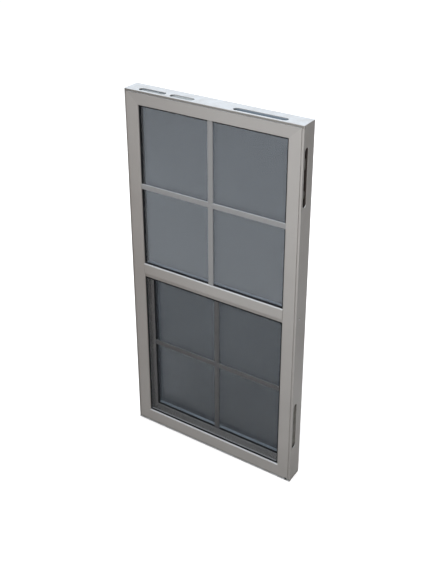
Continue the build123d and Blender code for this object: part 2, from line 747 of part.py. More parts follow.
# Brush piles of the sash: two beside the glass and one across the top rail
def sash_piles():
    start = side_pile_place()
    low, high = SASH_STOP_DEPTH + FIT, SASH_FRONT + PILE_GROOVE_DEPTH - SEAT
    foot, head = SASH_LIGHT_BOTTOM, SASH_LIGHT_TOP
    left = block(-start - PILE_GROOVE_WIDTH + SEAT, low, foot, -start - SEAT, high, head)
    half = start - 2 * PILE_GROOVE_WIDTH - SEAT
    low_z = SASH_TOP - CHECK_PILE_DROP + SEAT
    cross_high = low_z + PILE_GROOVE_WIDTH - 2 * SEAT
    across = block(-half, low, low_z, half, high, cross_high)
    return [left, right_of(left), across]


# Bulb seal under the bottom rail, pressed on the sill floor
def sill_seal():
    radius = (SASH_BOTTOM - SILL_FLOOR) / 2 - SEAT
    half = SASH_HALF - STILE_FACE
    middle = FRONT + SASH_FRONT + SASH_DEPTH / 2
    seal = Rot(0, 90, 0) * Cylinder(radius, 2 * half)
    return Pos(0, middle, (SASH_BOTTOM + SILL_FLOOR) / 2) * seal


# Blocks that carry the glass, two under each unit
def setting_blocks():
    blocks = []
    seats = (
        (RAIL_TOP - REBATE, UPPER_LOW, UPPER_OUTER, UPPER_HALF),
        (SASH_LIGHT_BOTTOM - SASH_REBATE, SASH_UNIT_LOW, SASH_OUTER, SASH_UNIT_HALF),
    )
    for floor, glass_low, low_depth, half in seats:
        for side in (-1, 1):
            middle = side * half * 2 * BLOCK_PLACE
            low_x, high_x = middle - BLOCK_LENGTH / 2, middle + BLOCK_LENGTH / 2
            blocks.append(block(low_x, low_depth, floor + SEAT, high_x, low_depth + UNIT, glass_low - SEAT))
    return blocks


def parts():
    upper = (UPPER_HALF, UPPER_LOW, UPPER_HIGH)
    sash_unit = (SASH_UNIT_HALF, SASH_UNIT_LOW, SASH_UNIT_HIGH)
    upper_light = (LIGHT_HALF, RAIL_TOP, LIGHT_TOP)
    sash_light = (SASH_LIGHT_HALF, SASH_LIGHT_BOTTOM, SASH_LIGHT_TOP)
    sided = {
        "frame_{}_jamb": frame_left_jamb(),
        "upper_{}_bead": upper_left_bead(),
        "lower_{}_stop": lower_left_stop(),
        "sash_{}_stile": sash_left_stile(),
        "sash_{}_bead": sash_left_bead(),
        "screen_{}_rail": screen_left_rail(),
        "{}_tilt_latch": left_tilt_latch(),
        "{}_balance": left_balance(),
        "{}_pivot_shoe": left_pivot_shoe(),
    }
    pieces = {
        "frame_head": frame_head(),
        "frame_sill": frame_sill(),
        "meeting_rail": meeting_rail(),
        "upper_outer_glass": pane(*upper, UPPER_OUTER),
        "upper_inner_glass": pane(*upper, UPPER_INNER),
        "upper_spacer": glass_spacer(*upper_light, UPPER_OUTER, UPPER_INNER),
        "upper_gasket": glass_gasket(*upper_light, UPPER_OUTER - SEAT),
        "upper_bars": grille(*upper_light, UPPER_OUTER - BAR_DEPTH - SEAT),
        "upper_head_bead": upper_head_bead(),
        "sash_top_rail": sash_top_rail(),
        "sash_bottom_rail": sash_bottom_rail(),
        "sash_outer_glass": pane(*sash_unit, SASH_OUTER),
        "sash_inner_glass": pane(*sash_unit, SASH_INNER),
        "sash_spacer": glass_spacer(*sash_light, SASH_OUTER, SASH_INNER),
        "sash_gasket": glass_gasket(*sash_light, SASH_OUTER - SEAT),
        "sash_bars": grille(*sash_light, SASH_OUTER - BAR_DEPTH - SEAT),
        "sash_top_bead": sash_top_bead(),
        "sash_bottom_bead": sash_bottom_bead(),
        "screen_top_rail": screen_top_rail(),
        "screen_bottom_rail": screen_bottom_rail(),
        "screen_mesh": screen_mesh(),
        "screen_spline": screen_spline(),
        "sash_lock": sash_lock(),
        "lock_keeper": lock_keeper(),
        "sash_piles": sash_piles(),
        "sill_seal": sill_seal(),
        "setting_blocks": setting_blocks(),
    }
    for name, shape in sided.items():
        pieces[name.format("left")] = shape
        pieces[name.format("right")] = right_of(shape)
    return pieces


# Each piece is written as its own file, and loose like pieces share one
os.makedirs("parts", exist_ok=True)
for name, shape in parts().items():
    if isinstance(shape, list):
        shape = Compound(children=shape)
    export_step(shape, f"parts/{name}.step")
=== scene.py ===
import json
import math

import bmesh
import bpy
from mathutils import Matrix, Vector, noise

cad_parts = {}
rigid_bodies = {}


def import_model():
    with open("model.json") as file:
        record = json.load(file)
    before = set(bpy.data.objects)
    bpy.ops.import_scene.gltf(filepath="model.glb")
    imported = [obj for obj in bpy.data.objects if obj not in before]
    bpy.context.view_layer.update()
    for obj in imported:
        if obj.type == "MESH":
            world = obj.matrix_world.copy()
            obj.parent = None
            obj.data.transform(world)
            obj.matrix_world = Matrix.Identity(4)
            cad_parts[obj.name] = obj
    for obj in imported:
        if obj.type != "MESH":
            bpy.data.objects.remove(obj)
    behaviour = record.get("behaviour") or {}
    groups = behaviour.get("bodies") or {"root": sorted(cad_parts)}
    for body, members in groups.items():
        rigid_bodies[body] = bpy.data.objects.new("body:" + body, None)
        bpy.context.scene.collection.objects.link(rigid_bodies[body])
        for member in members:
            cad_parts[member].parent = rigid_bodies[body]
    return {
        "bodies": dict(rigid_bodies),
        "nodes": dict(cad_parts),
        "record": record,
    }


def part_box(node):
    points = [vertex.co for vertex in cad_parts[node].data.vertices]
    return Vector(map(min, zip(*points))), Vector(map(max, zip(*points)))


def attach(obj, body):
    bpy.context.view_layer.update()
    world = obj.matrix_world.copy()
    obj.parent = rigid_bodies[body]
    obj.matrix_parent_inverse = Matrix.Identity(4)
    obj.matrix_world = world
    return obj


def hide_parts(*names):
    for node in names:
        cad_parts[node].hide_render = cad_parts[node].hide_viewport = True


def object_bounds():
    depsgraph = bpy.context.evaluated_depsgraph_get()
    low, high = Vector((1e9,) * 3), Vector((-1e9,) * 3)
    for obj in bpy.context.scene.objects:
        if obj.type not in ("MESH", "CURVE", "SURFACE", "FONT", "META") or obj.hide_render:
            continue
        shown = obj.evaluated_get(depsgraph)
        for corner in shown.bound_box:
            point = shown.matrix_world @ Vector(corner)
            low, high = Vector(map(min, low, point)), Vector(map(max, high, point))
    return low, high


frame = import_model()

CAD_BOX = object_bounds()

# Camera: place in metres, turn and tilt in degrees, lens and sensor in millimetres
CAMERA_PLACE = (1.25303, -1.91898, 1.98647)
CAMERA_TURN = 32.7105
CAMERA_TILT = 24.9193
CAMERA_LENS = 53.7615
SENSOR = 36.0
FRAME_SHIFT = (-0.007944, -0.162045)

# Colours of the finishes, scene linear
VINYL = (0.585, 0.565, 0.545)
VINYL_SHADE = (0.45, 0.43, 0.41)
# Darker copy of the frame vinyl for the head: painted shade
HEAD_VINYL_PAINTED_SHADE = (0.540, 0.522, 0.505)
# Pale blue-grey on what faces up: partly dust, partly painted skylight
DUST_AND_SKYLIGHT_COLOUR = (0.75, 0.78, 0.81)
# Lighter copy of the frame vinyl for sash and beads: painted light on parts behind screen and glass
SASH_VINYL_PAINTED_LIGHT = (0.68, 0.685, 0.69)
# Grey-brown of the scuffs, and of the painted shade in the head's trim groove
SCUFF_GRIME_AND_GROOVE_SHADE = (0.13, 0.12, 0.10)
# Painted shade inside the outer chambers: brown in the jambs, blue-grey in the head as if lit by the sky
JAMB_HOLLOW_PAINTED_SHADE = (0.15, 0.125, 0.115)
HEAD_HOLLOW_PAINTED_SHADE = (0.36, 0.42, 0.48)
# Painted shade on faces that lean downwards
UNDER_PAINTED_SHADE = (0.21, 0.17, 0.14)
# Painted shade on the left side of the window
LEFT_PAINTED_SHADE = (0.20, 0.15, 0.12)
BAR_PAINT = (0.38, 0.38, 0.385)
OUTER_GLASS = (0.90, 0.93, 0.94)
INNER_GLASS = (0.071, 0.077, 0.087)
SASH_INNER_GLASS = (0.074, 0.081, 0.091)
SEALANT = (0.006, 0.007, 0.009)
# Spacers: the level colours are painted skylight, and the upper spacer's are a darker copy, painted shade
UPPER_SPACER_PAINTED_SHADE_SIDE = (0.045, 0.050, 0.058)
UPPER_SPACER_PAINTED_SKYLIGHT = (0.19, 0.21, 0.25)
SASH_SPACER_SIDE = (0.24, 0.26, 0.29)
SASH_SPACER_PAINTED_SKYLIGHT = (0.66, 0.74, 0.84)
RUBBER = (0.012, 0.012, 0.013)
# Screen frame paint lightened to stand in for light on its shaded rail: painted light
SCREEN_PAINT_PAINTED_LIGHT = (0.80, 0.82, 0.84)
LIP_PAINT = (0.26, 0.27, 0.29)
WIRE = (0.014, 0.015, 0.018)
HARDWARE = (0.66, 0.66, 0.64)
STEEL = (0.50, 0.50, 0.50)
NYLON = (0.74, 0.73, 0.70)
PILE = (0.16, 0.16, 0.165)
BLOCK_RUBBER = (0.03, 0.03, 0.032)
FOAM = (0.50, 0.53, 0.54)
DARK_FOAM = (0.34, 0.33, 0.30)

# How strongly the panes bend light, less than real glass does
GLASS_INDEX = 1.3

# Size of the window
HALF_WIDTH = CAD_BOX[1].x
HEIGHT = CAD_BOX[1].z

# Outer chambers of the frame: their middle and reach behind the outer faces, the same in depth, and
# the thickness of the outer wall
CHAMBER_MIDDLE = 0.0091
CHAMBER_REACH = 0.0073
CHAMBER_DEPTH = -0.0115
CHAMBER_DEPTH_REACH = 0.0130
OUTER_WALL = 0.0012

# Trim groove of the head, where shade is painted: its middle below the top and its reach, and the same in
# depth. Last, the height above the floor where the darker line along the foot ends
GROOVE_FROM_TOP = 0.0055
GROOVE_REACH = 0.0050
GROOVE_PLACE = -0.0270
GROOVE_PLACE_REACH = 0.0020
FOOT_LINE_HEIGHT = 0.0080

# Painted shade on the left side: where it is strongest, as a share of the height, and where it starts, as
# a share of the half width
LEFT_SHADE_HEIGHT = 0.48
LEFT_SHADE_START = 0.1

# Screen weave: the spacing of the wires, their width and their depth
WIRE_PITCH = 0.00145
WIRE_THICKNESS = 0.00022
WIRE_DEPTH = WIRE_THICKNESS * 0.6

# Screws of lock and keeper: the head's size, its rings as shares of radius and height, its cross
# recess, how far a head may be turned, the face that carries it, and the screws' places
SCREW_RADIUS = 0.0031
SCREW_HEIGHT = 0.0013
SCREW_SIDES = 16
SCREW_RINGS = [(1.0, 0.0), (1.0, 0.35), (0.86, 0.75), (0.58, 1.0)]
RECESS_REACH = SCREW_RADIUS * 0.5
RECESS_ARM = SCREW_RADIUS * 0.13
RECESS_FLOOR = SCREW_HEIGHT * 0.35
RECESS_TAPER = 0.7
SCREW_SCALE = 0.8
SCREW_TURN = 1.5
SCREW_SEAT = 0.0005
SCREW_SEED = 4
LOCK_BASE = 0.004
LOCK_SCREW_ASIDE = 0.0205
KEEPER_SCREW_ASIDE = 0.0165

# Routed slots: how far behind the face their middle lies, and the foam in them. Each row for the
# head has its name, middle from the left end, length, how far its skin is sunk, and seed, and each
# row for the right jamb its name, low end, high end, how far it is sunk, and seed
SLOT_DEPTH = 0.0185
HEAD_FOAM = [
    ("head_slot_foam", 0.194, 0.074, 0.0012, 0.0),
    ("left_slot_foam", 0.089, 0.090, 0.0036, 31.0),
]
JAMB_FOAM = [
    ("low_slot_foam", 0.131, 0.289, 0.0012, 7.0),
    ("high_slot_foam", 1.070, 1.104, 0.0050, 13.0),
    ("middle_slot_foam", 0.985, 1.008, 0.0044, 21.0),
]
FOAM_WIDTH = 0.0188
HEAD_FOAM_THICKNESS = 0.009
JAMB_FOAM_THICKNESS = 0.005
FOAM_CUTS = 14
FOAM_LUMP = 0.0011
FOAM_LUMPS_PER_METRE = 160.0
FOAM_ROUGHNESS, FOAM_FINENESS, FOAM_LAYERS = 0.8, 2.0, 3
FOAM_SKIN_SHARE = 0.3
FOAM_SKIN_SINK = 0.0003
FOAM_END_SINK = 0.0022
FOAM_END_REACH = 0.005

# Bent tab at the lower slot of the left jamb: its line as steps from the face and heights
TAB_LINE = [
    (0.0012, 0.236), (-0.0016, 0.2345), (-0.0038, 0.229), (-0.0044, 0.222),
    (-0.0036, 0.214), (-0.0020, 0.206), (0.0012, 0.200),
]
TAB_THICKNESS = 0.0011
TAB_HALF_WIDTH = 0.0052

# Strips along the bottom of the screen: the spline's width, its ribbed upper edge and the inner lip
# of the frame above it. A section is steps back from the spline's front and up from its own foot
SPLINE_WIDTH = 0.0045
SPLINE_EDGE_HEIGHT = 0.0026
SPLINE_EDGE = [
    (0.0019, -0.0001), (0.0019, 0.0026), (0.0004, 0.0026), (0.0002, 0.0021), (0.0005, 0.0016),
    (0.0002, 0.0011), (0.0005, 0.0006), (0.0004, -0.0001),
]
STRIP_END_GAP = 0.0046
SCREEN_LIP = [
    (0.0019, -0.0001), (0.0019, 0.0018), (0.0016, 0.0024), (0.0011, 0.0026), (0.0006, 0.0024),
    (0.0003, 0.0019), (0.0003, 0.0013), (0.0006, 0.0009), (0.0006, -0.0001),
]

# Black piece in the drain hole as painted shade: width, thickness and height, its rounding, and its place
DRAIN_SHADE_PIECE = (0.0090, 0.0016, 0.0042)
DRAIN_ROUNDING = 0.0004
DRAIN_FROM_END = 0.0155
DRAIN_BEHIND_FACE = 0.0002
DRAIN_HEIGHT = 0.0066

# Thumb ribs on the tilt latches: how many, over what length, their width, the share of the latch's
# depth that they cross, and their middle from the latch's inner end
RIB_COUNT = 6
RIB_SPAN = 0.012
RIB_WIDTH = 0.0007
RIB_SHARE = 0.6
RIBS_FROM_END = 0.018

# Floor and background: what lights the object, and the white that is seen
FLOOR_SIZE = 30.0
FLOOR_LIT = (0.15, 0.135, 0.12)
FLOOR_SEEN = (0.93, 0.93, 0.93)
FLOOR_GLOW = (0.36, 0.34, 0.32)
WORLD_LIT = (0.074, 0.060, 0.049)
WORLD_SEEN = (1.0, 1.0, 1.0)


# Small helpers for building node trees
def add(tree, kind, values=None, **settings):
    node = tree.nodes.new(kind)
    for name, value in settings.items():
        setattr(node, name, value)
    for name, value in (values or {}).items():
        node.inputs[name].default_value = value
    return node


def join(tree, output, socket):
    tree.links.new(output, socket)


# Sets a socket to a number, or joins another node's output to it
def feed(tree, value, socket):
    if isinstance(value, (int, float)):
        socket.default_value = value
    else:
        join(tree, value, socket)


def arithmetic(tree, operation, first, second=None, clamp=False):
    node = add(tree, "ShaderNodeMath", operation=operation, use_clamp=clamp)
    for place, value in enumerate((first, second)):
        if value is not None:
            feed(tree, value, node.inputs[place])
    return node.outputs[0]


# 1 where the value lies within reach of the middle, and 0 elsewhere
def near(tree, value, middle, reach):
    result = arithmetic(tree, "COMPARE", value, middle)
    result.node.inputs[2].default_value = reach
    return result


def spread(tree, value, low, high, new_low=0.0, new_high=1.0):
    limits = {"From Min": low, "From Max": high, "To Min": new_low, "To Max": new_high}
    node = add(tree, "ShaderNodeMapRange", limits)
    join(tree, value, node.inputs["Value"])
    return node.outputs["Result"]


def split(tree, vector):
    node = add(tree, "ShaderNodeSeparateXYZ")
    join(tree, vector, node.inputs[0])
    return node.outputs


def scaled(colour, share):
    return tuple(min(1.0, part * share) for part in colour)


def blend_colours(tree, mask, first, second):
    node = add(tree, "ShaderNodeMix", data_type="RGBA")
    join(tree, mask, node.inputs["Factor"])
    for name, value in (("A", first), ("B", second)):
        socket = [s for s in node.inputs if s.name == name and s.type == "RGBA"][0]
        if isinstance(value, tuple):
            socket.default_value = (*value, 1.0)
        else:
            join(tree, value, socket)
    return [s for s in node.outputs if s.type == "RGBA"][0]


def noise_field(tree, vector, scale, detail=4.0, roughness=0.55):
    node = add(tree, "ShaderNodeTexNoise", {"Detail": detail, "Roughness": roughness})
    join(tree, vector, node.inputs["Vector"])
    feed(tree, scale, node.inputs["Scale"])
    return node.outputs["Fac"]


# A shader group that takes a place on the surface and named numbers, and puts out masks
def new_group(name, numbers, masks=("Mask",)):
    group = bpy.data.node_groups.new(name, "ShaderNodeTree")
    group.interface.new_socket(name="Vector", in_out="INPUT", socket_type="NodeSocketVector")
    for label, value in numbers.items():
        socket = group.interface.new_socket(name=label, in_out="INPUT", socket_type="NodeSocketFloat")
        socket.default_value = value
    for label in masks:
        group.interface.new_socket(name=label, in_out="OUTPUT", socket_type="NodeSocketFloat")
    entry = group.nodes.new("NodeGroupInput")
    leave = group.nodes.new("NodeGroupOutput")
    return group, entry, leave


# Ends a group whose mask is taken times its input Amount
def give_share(group, entry, leave, mask):
    share = arithmetic(group, "MULTIPLY", mask, entry.outputs["Amount"], True)
    join(group, share, leave.inputs["Mask"])


# Effects shared by several finishes, from here to the table EFFECTS


# Soft patches of tone with a fine grain over them
def make_mottle():
    numbers = {"Patch scale": 6.0, "Grain scale": 900.0, "Grain share": 0.3}
    group, entry, leave = new_group("mottle", numbers)
    place, share = entry.outputs["Vector"], entry.outputs["Grain share"]
    patches = spread(group, noise_field(group, place, entry.outputs["Patch scale"], 5.0), 0.3, 0.7)
    grain = spread(group, noise_field(group, place, entry.outputs["Grain scale"], 2.0), 0.3, 0.7)
    patch_part = arithmetic(group, "MULTIPLY", patches, arithmetic(group, "SUBTRACT", 1.0, share))
    grain_part = arithmetic(group, "MULTIPLY", grain, share)
    join(group, arithmetic(group, "ADD", patch_part, grain_part, True), leave.inputs["Mask"])
    return group


# Dust and painted skylight on what faces up, thicker in patches
def make_dust_and_painted_skylight():
    group, entry, leave = new_group("dust_and_painted_skylight", {"Scale": 40.0, "Amount": 0.6})
    surface = add(group, "ShaderNodeNewGeometry")
    facing = spread(group, split(group, surface.outputs["Normal"])["Z"], 0.35, 0.95)
    field = noise_field(group, entry.outputs["Vector"], entry.outputs["Scale"], 6.0, 0.65)
    patches = spread(group, field, 0.32, 0.62, 0.55, 1.0)
    give_share(group, entry, leave, arithmetic(group, "MULTIPLY", facing, patches))
    return group


# Edges and corners, found by rounding the surface over a small radius: wear and painted highlights
def make_edge_wear_and_highlight():
    group, entry, leave = new_group("edge_wear_and_highlight", {"Radius": 0.0012, "Scale": 60.0})
    rounded = add(group, "ShaderNodeBevel", samples=4)
    join(group, entry.outputs["Radius"], rounded.inputs["Radius"])
    surface = add(group, "ShaderNodeNewGeometry")
    dot = add(group, "ShaderNodeVectorMath", operation="DOT_PRODUCT")
    join(group, rounded.outputs["Normal"], dot.inputs[0])
    join(group, surface.outputs["Normal"], dot.inputs[1])
    edge_highlight = spread(group, dot.outputs["Value"], 0.995, 0.80)
    field = noise_field(group, entry.outputs["Vector"], entry.outputs["Scale"], 4.0)
    breaks = spread(group, field, 0.38, 0.62)
    join(group, arithmetic(group, "MULTIPLY", edge_highlight, breaks, True), leave.inputs["Mask"])
    return group


# Thin scuffs that run mostly along the length of a bar
def make_scuffs():
    group, entry, leave = new_group("scuffs", {"Scale": 30.0, "Amount": 0.5})
    layers = []
    for turn, stretch in ((0.35, (14.0, 14.0, 1.0)), (-0.9, (1.0, 12.0, 9.0))):
        place = add(group, "ShaderNodeMapping", {"Rotation": (0.0, turn, 0.2), "Scale": stretch})
        join(group, entry.outputs["Vector"], place.inputs["Vector"])
        field = noise_field(group, place.outputs["Vector"], entry.outputs["Scale"], 3.0, 0.6)
        layers.append(spread(group, field, 0.66, 0.74))
    lines = arithmetic(group, "MAXIMUM", *layers)
    patches = spread(group, noise_field(group, entry.outputs["Vector"], 7.0, 3.0), 0.45, 0.62)
    give_share(group, entry, leave, arithmetic(group, "MULTIPLY", lines, patches))
    return group


# Darker towards the bottom, in patches
def make_darker_low_down():
    group, entry, leave = new_group("darker_low_down", {"Reach": 0.5, "Amount": 0.5})
    height = split(group, entry.outputs["Vector"])["Z"]
    risen = arithmetic(group, "DIVIDE", height, entry.outputs["Reach"])
    low = arithmetic(group, "SUBTRACT", 1.0, risen, True)
    patches = spread(group, noise_field(group, entry.outputs["Vector"], 9.0, 6.0, 0.6), 0.2, 0.8)
    give_share(group, entry, leave, arithmetic(group, "MULTIPLY", low, patches))
    return group


# Painted shade inside the outer chambers of jambs and head, where little light reaches
def make_painted_hollow_shade():
    group, entry, leave = new_group("painted_hollow_shade", {}, ("Jamb mask", "Head mask"))
    parts = split(group, entry.outputs["Vector"])
    aside = arithmetic(group, "ABSOLUTE", parts["X"])
    at_side = near(group, aside, HALF_WIDTH - CHAMBER_MIDDLE, CHAMBER_REACH)
    at_top = near(group, parts["Z"], HEIGHT - CHAMBER_MIDDLE, CHAMBER_REACH)
    at_depth = near(group, parts["Y"], CHAMBER_DEPTH, CHAMBER_DEPTH_REACH)
    below_top = arithmetic(group, "LESS_THAN", parts["Z"], HEIGHT - OUTER_WALL)
    within_sides = arithmetic(group, "LESS_THAN", aside, HALF_WIDTH - OUTER_WALL)
    in_jamb = arithmetic(group, "MULTIPLY", at_side, below_top)
    in_head = arithmetic(group, "MULTIPLY", at_top, within_sides)
    join(group, arithmetic(group, "MULTIPLY", in_jamb, at_depth), leave.inputs["Jamb mask"])
    join(group, arithmetic(group, "MULTIPLY", in_head, at_depth), leave.inputs["Head mask"])
    return group


# Painted shade on the left side of the window, strongest at about half its height
def make_left_side_shade():
    group, entry, leave = new_group("left_side_shade", {"Amount": 0.3})
    parts = split(group, entry.outputs["Vector"])
    aside = spread(group, parts["X"], HALF_WIDTH * LEFT_SHADE_START, -HALF_WIDTH)
    above = arithmetic(group, "SUBTRACT", parts["Z"], HEIGHT * LEFT_SHADE_HEIGHT)
    upright = spread(group, arithmetic(group, "ABSOLUTE", above), 0.0, HEIGHT * 0.5, 1.0, 0.4)
    field = noise_field(group, entry.outputs["Vector"], 8.0, 4.0)
    patches = spread(group, field, 0.25, 0.7, 0.7, 1.0)
    mask = arithmetic(group, "MULTIPLY", arithmetic(group, "MULTIPLY", aside, upright), patches)
    give_share(group, entry, leave, mask)
    return group


# Painted shade in the trim groove along the top of the head, and a darker line along the foot
def make_groove_shade_and_foot_line():
    group, entry, leave = new_group("groove_shade_and_foot_line", {})
    parts = split(group, entry.outputs["Vector"])
    near_top = near(group, parts["Z"], HEIGHT - GROOVE_FROM_TOP, GROOVE_REACH)
    behind_face = near(group, parts["Y"], GROOVE_PLACE, GROOVE_PLACE_REACH)
    at_foot = spread(group, parts["Z"], FOOT_LINE_HEIGHT, FOOT_LINE_HEIGHT * 0.4)
    in_groove = arithmetic(group, "MULTIPLY", near_top, behind_face)
    join(group, arithmetic(group, "MAXIMUM", in_groove, at_foot), leave.inputs["Mask"])
    return group


# Painted shade where a face leans downwards, in patches
def make_downward_painted_shade():
    group, entry, leave = new_group("downward_painted_shade", {"Scale": 25.0, "Amount": 0.5})
    surface = add(group, "ShaderNodeNewGeometry")
    leaning = spread(group, split(group, surface.outputs["Normal"])["Z"], -0.08, -0.22)
    field = noise_field(group, entry.outputs["Vector"], entry.outputs["Scale"], 4.0)
    patches = spread(group, field, 0.1, 0.6, 0.6, 1.0)
    give_share(group, entry, leave, arithmetic(group, "MULTIPLY", leaning, patches))
    return group


EFFECTS = {
    "left_side_shade": make_left_side_shade(),
    "groove_shade_and_foot_line": make_groove_shade_and_foot_line(),
    "downward_painted_shade": make_downward_painted_shade(),
    "painted_hollow_shade": make_painted_hollow_shade(),
    "mottle": make_mottle(),
    "dust_and_painted_skylight": make_dust_and_painted_skylight(),
    "edge_wear_and_highlight": make_edge_wear_and_highlight(),
    "scuffs": make_scuffs(),
    "darker_low_down": make_darker_low_down(),
}


def add_effect(tree, name, vector, **values):
    node = tree.nodes.new("ShaderNodeGroup")
    node.node_tree = EFFECTS[name]
    join(tree, vector, node.inputs["Vector"])
    for label, value in values.items():
        node.inputs[label.replace("_", " ").capitalize()].default_value = value
    return node


def effect(tree, name, vector, **values):
    return add_effect(tree, name, vector, **values).outputs[0]


def new_finish(name):
    material = bpy.data.materials.new(name)
    material.use_nodes = True
    tree = material.node_tree
    shader = tree.nodes["Principled BSDF"]
    places = add(tree, "ShaderNodeTexCoord")
    return material, tree, shader, places.outputs["Object"]


def raise_grain(tree, shader, height, distance, strength):
    bump = add(tree, "ShaderNodeBump", {"Distance": distance, "Strength": strength})
    join(tree, height, bump.inputs["Height"])
    join(tree, bump.outputs["Normal"], shader.inputs["Normal"])


# Extruded vinyl: satin skin, patches of tone, scuffs, darker low down, edges worn and painted lighter,
# dust with painted skylight, and painted shade in hollows, in the head's groove, on downward faces and the
# left side
def vinyl_finish(name, colour, shade, dust_and_skylight, low_darkening, scuff, edge_highlight=0.35, edge_highlight_radius=0.0012):
    material, tree, shader, places = new_finish(name)
    tone = effect(tree, "mottle", places, patch_scale=5.0, grain_scale=700.0, grain_share=0.25)
    skin = blend_colours(tree, spread(tree, tone, 0.0, 1.0, 0.0, 0.22), colour, shade)
    # Darker towards the bottom
    low_mask = effect(tree, "darker_low_down", places, reach=1.6, amount=low_darkening)
    skin = blend_colours(tree, low_mask, skin, scaled(shade, 0.45))
    # Painted shade on faces that lean downwards
    under_shade_mask = effect(tree, "downward_painted_shade", places, scale=25.0, amount=0.10)
    skin = blend_colours(tree, under_shade_mask, skin, UNDER_PAINTED_SHADE)
    # Painted shade on the left side
    skin = blend_colours(tree, effect(tree, "left_side_shade", places, amount=0.36), skin, LEFT_PAINTED_SHADE)
    # Painted shade in the head's trim groove, and a darker line along the foot
    groove_shade_mask = arithmetic(tree, "MULTIPLY", effect(tree, "groove_shade_and_foot_line", places), 0.5)
    skin = blend_colours(tree, groove_shade_mask, skin, SCUFF_GRIME_AND_GROOVE_SHADE)
    scuff_mask = effect(tree, "scuffs", places, scale=30.0, amount=scuff)
    skin = blend_colours(tree, scuff_mask, skin, SCUFF_GRIME_AND_GROOVE_SHADE)
    # Edges lightened: wear and painted highlight
    edge_highlight_mask = effect(tree, "edge_wear_and_highlight", places, radius=edge_highlight_radius, scale=60.0)
    edge_highlight_mask = arithmetic(tree, "MULTIPLY", edge_highlight_mask, edge_highlight)
    skin = blend_colours(tree, edge_highlight_mask, skin, scaled(colour, 1.35))
    # Dust and painted skylight on what faces up
    dust_and_skylight_mask = effect(tree, "dust_and_painted_skylight", places, scale=35.0, amount=dust_and_skylight)
    skin = blend_colours(tree, dust_and_skylight_mask, skin, DUST_AND_SKYLIGHT_COLOUR)
    # Painted shade inside the outer chambers of jambs and head
    inside = add_effect(tree, "painted_hollow_shade", places)
    skin = blend_colours(tree, inside.outputs["Jamb mask"], skin, JAMB_HOLLOW_PAINTED_SHADE)
    skin = blend_colours(tree, inside.outputs["Head mask"], skin, HEAD_HOLLOW_PAINTED_SHADE)
    join(tree, skin, shader.inputs["Base Color"])
    worn = arithmetic(tree, "ADD", tone, dust_and_skylight_mask)
    join(tree, spread(tree, worn, 0.0, 1.4, 0.36, 0.62), shader.inputs["Roughness"])
    shader.inputs["Specular IOR Level"].default_value = 0.3
    raise_grain(tree, shader, tone, 0.0001, 0.2)
    return material


# Paint or smooth plastic: slight patches of tone, edges worn and painted lighter, and dust with painted
# skylight
def painted_finish(name, colour, roughness=(0.32, 0.5), dust_and_skylight=0.3, specular=0.5):
    material, tree, shader, places = new_finish(name)
    tone = effect(tree, "mottle", places, patch_scale=9.0, grain_scale=1200.0, grain_share=0.35)
    skin = blend_colours(tree, spread(tree, tone, 0.0, 1.0, 0.0, 0.5), colour, scaled(colour, 0.8))
    # Edges lightened: wear and painted highlight
    edge_highlight_mask = effect(tree, "edge_wear_and_highlight", places, radius=0.0006, scale=120.0)
    skin = blend_colours(tree, arithmetic(tree, "MULTIPLY", edge_highlight_mask, 0.3), skin, scaled(colour, 1.3))
    # Dust and painted skylight on what faces up
    dust_and_skylight_mask = effect(tree, "dust_and_painted_skylight", places, scale=60.0, amount=dust_and_skylight)
    skin = blend_colours(tree, dust_and_skylight_mask, skin, DUST_AND_SKYLIGHT_COLOUR)
    join(tree, skin, shader.inputs["Base Color"])
    join(tree, spread(tree, tone, 0.0, 1.0, *roughness), shader.inputs["Roughness"])
    shader.inputs["Specular IOR Level"].default_value = specular
    raise_grain(tree, shader, tone, 0.0001, 0.4)
    return material


# Float glass with faint smears in its tint. Its index is below that of real glass, which keeps the
# white floor faint in it, and light_passed is the share of a lamp's light that falls through it
def glass_finish(name, colour, light_passed):
    material, tree, shader, places = new_finish(name)
    smears = effect(tree, "mottle", places, patch_scale=3.0, grain_scale=60.0, grain_share=0.2)
    tint = blend_colours(tree, spread(tree, smears, 0.2, 1.0, 0.0, 0.3), colour, scaled(colour, 0.93))
    join(tree, tint, shader.inputs["Base Color"])
    shader.inputs["Roughness"].default_value = 0.0
    shader.inputs["Transmission Weight"].default_value = 1.0
    shader.inputs["IOR"].default_value = GLASS_INDEX
    rays = add(tree, "ShaderNodeLightPath")
    passing = arithmetic(tree, "MULTIPLY", rays.outputs["Is Shadow Ray"], light_passed)
    join(tree, arithmetic(tree, "SUBTRACT", 1.0, passing), shader.inputs["Alpha"])
    return material


# Bare steel, with its grain stretched by brushed
def metal_finish(name, colour, roughness, brushed):
    material, tree, shader, places = new_finish(name)
    grain_place = add(tree, "ShaderNodeMapping", {"Scale": brushed})
    join(tree, places, grain_place.inputs["Vector"])
    stretched = grain_place.outputs["Vector"]
    tone = effect(tree, "mottle", stretched, patch_scale=12.0, grain_scale=90.0, grain_share=0.5)
    skin = blend_colours(tree, tone, colour, scaled(colour, 0.72))
    join(tree, skin, shader.inputs["Base Color"])
    join(tree, spread(tree, tone, 0.0, 1.0, *roughness), shader.inputs["Roughness"])
    shader.inputs["Metallic"].default_value = 1.0
    raise_grain(tree, shader, tone, 0.0001, 0.3)
    return material


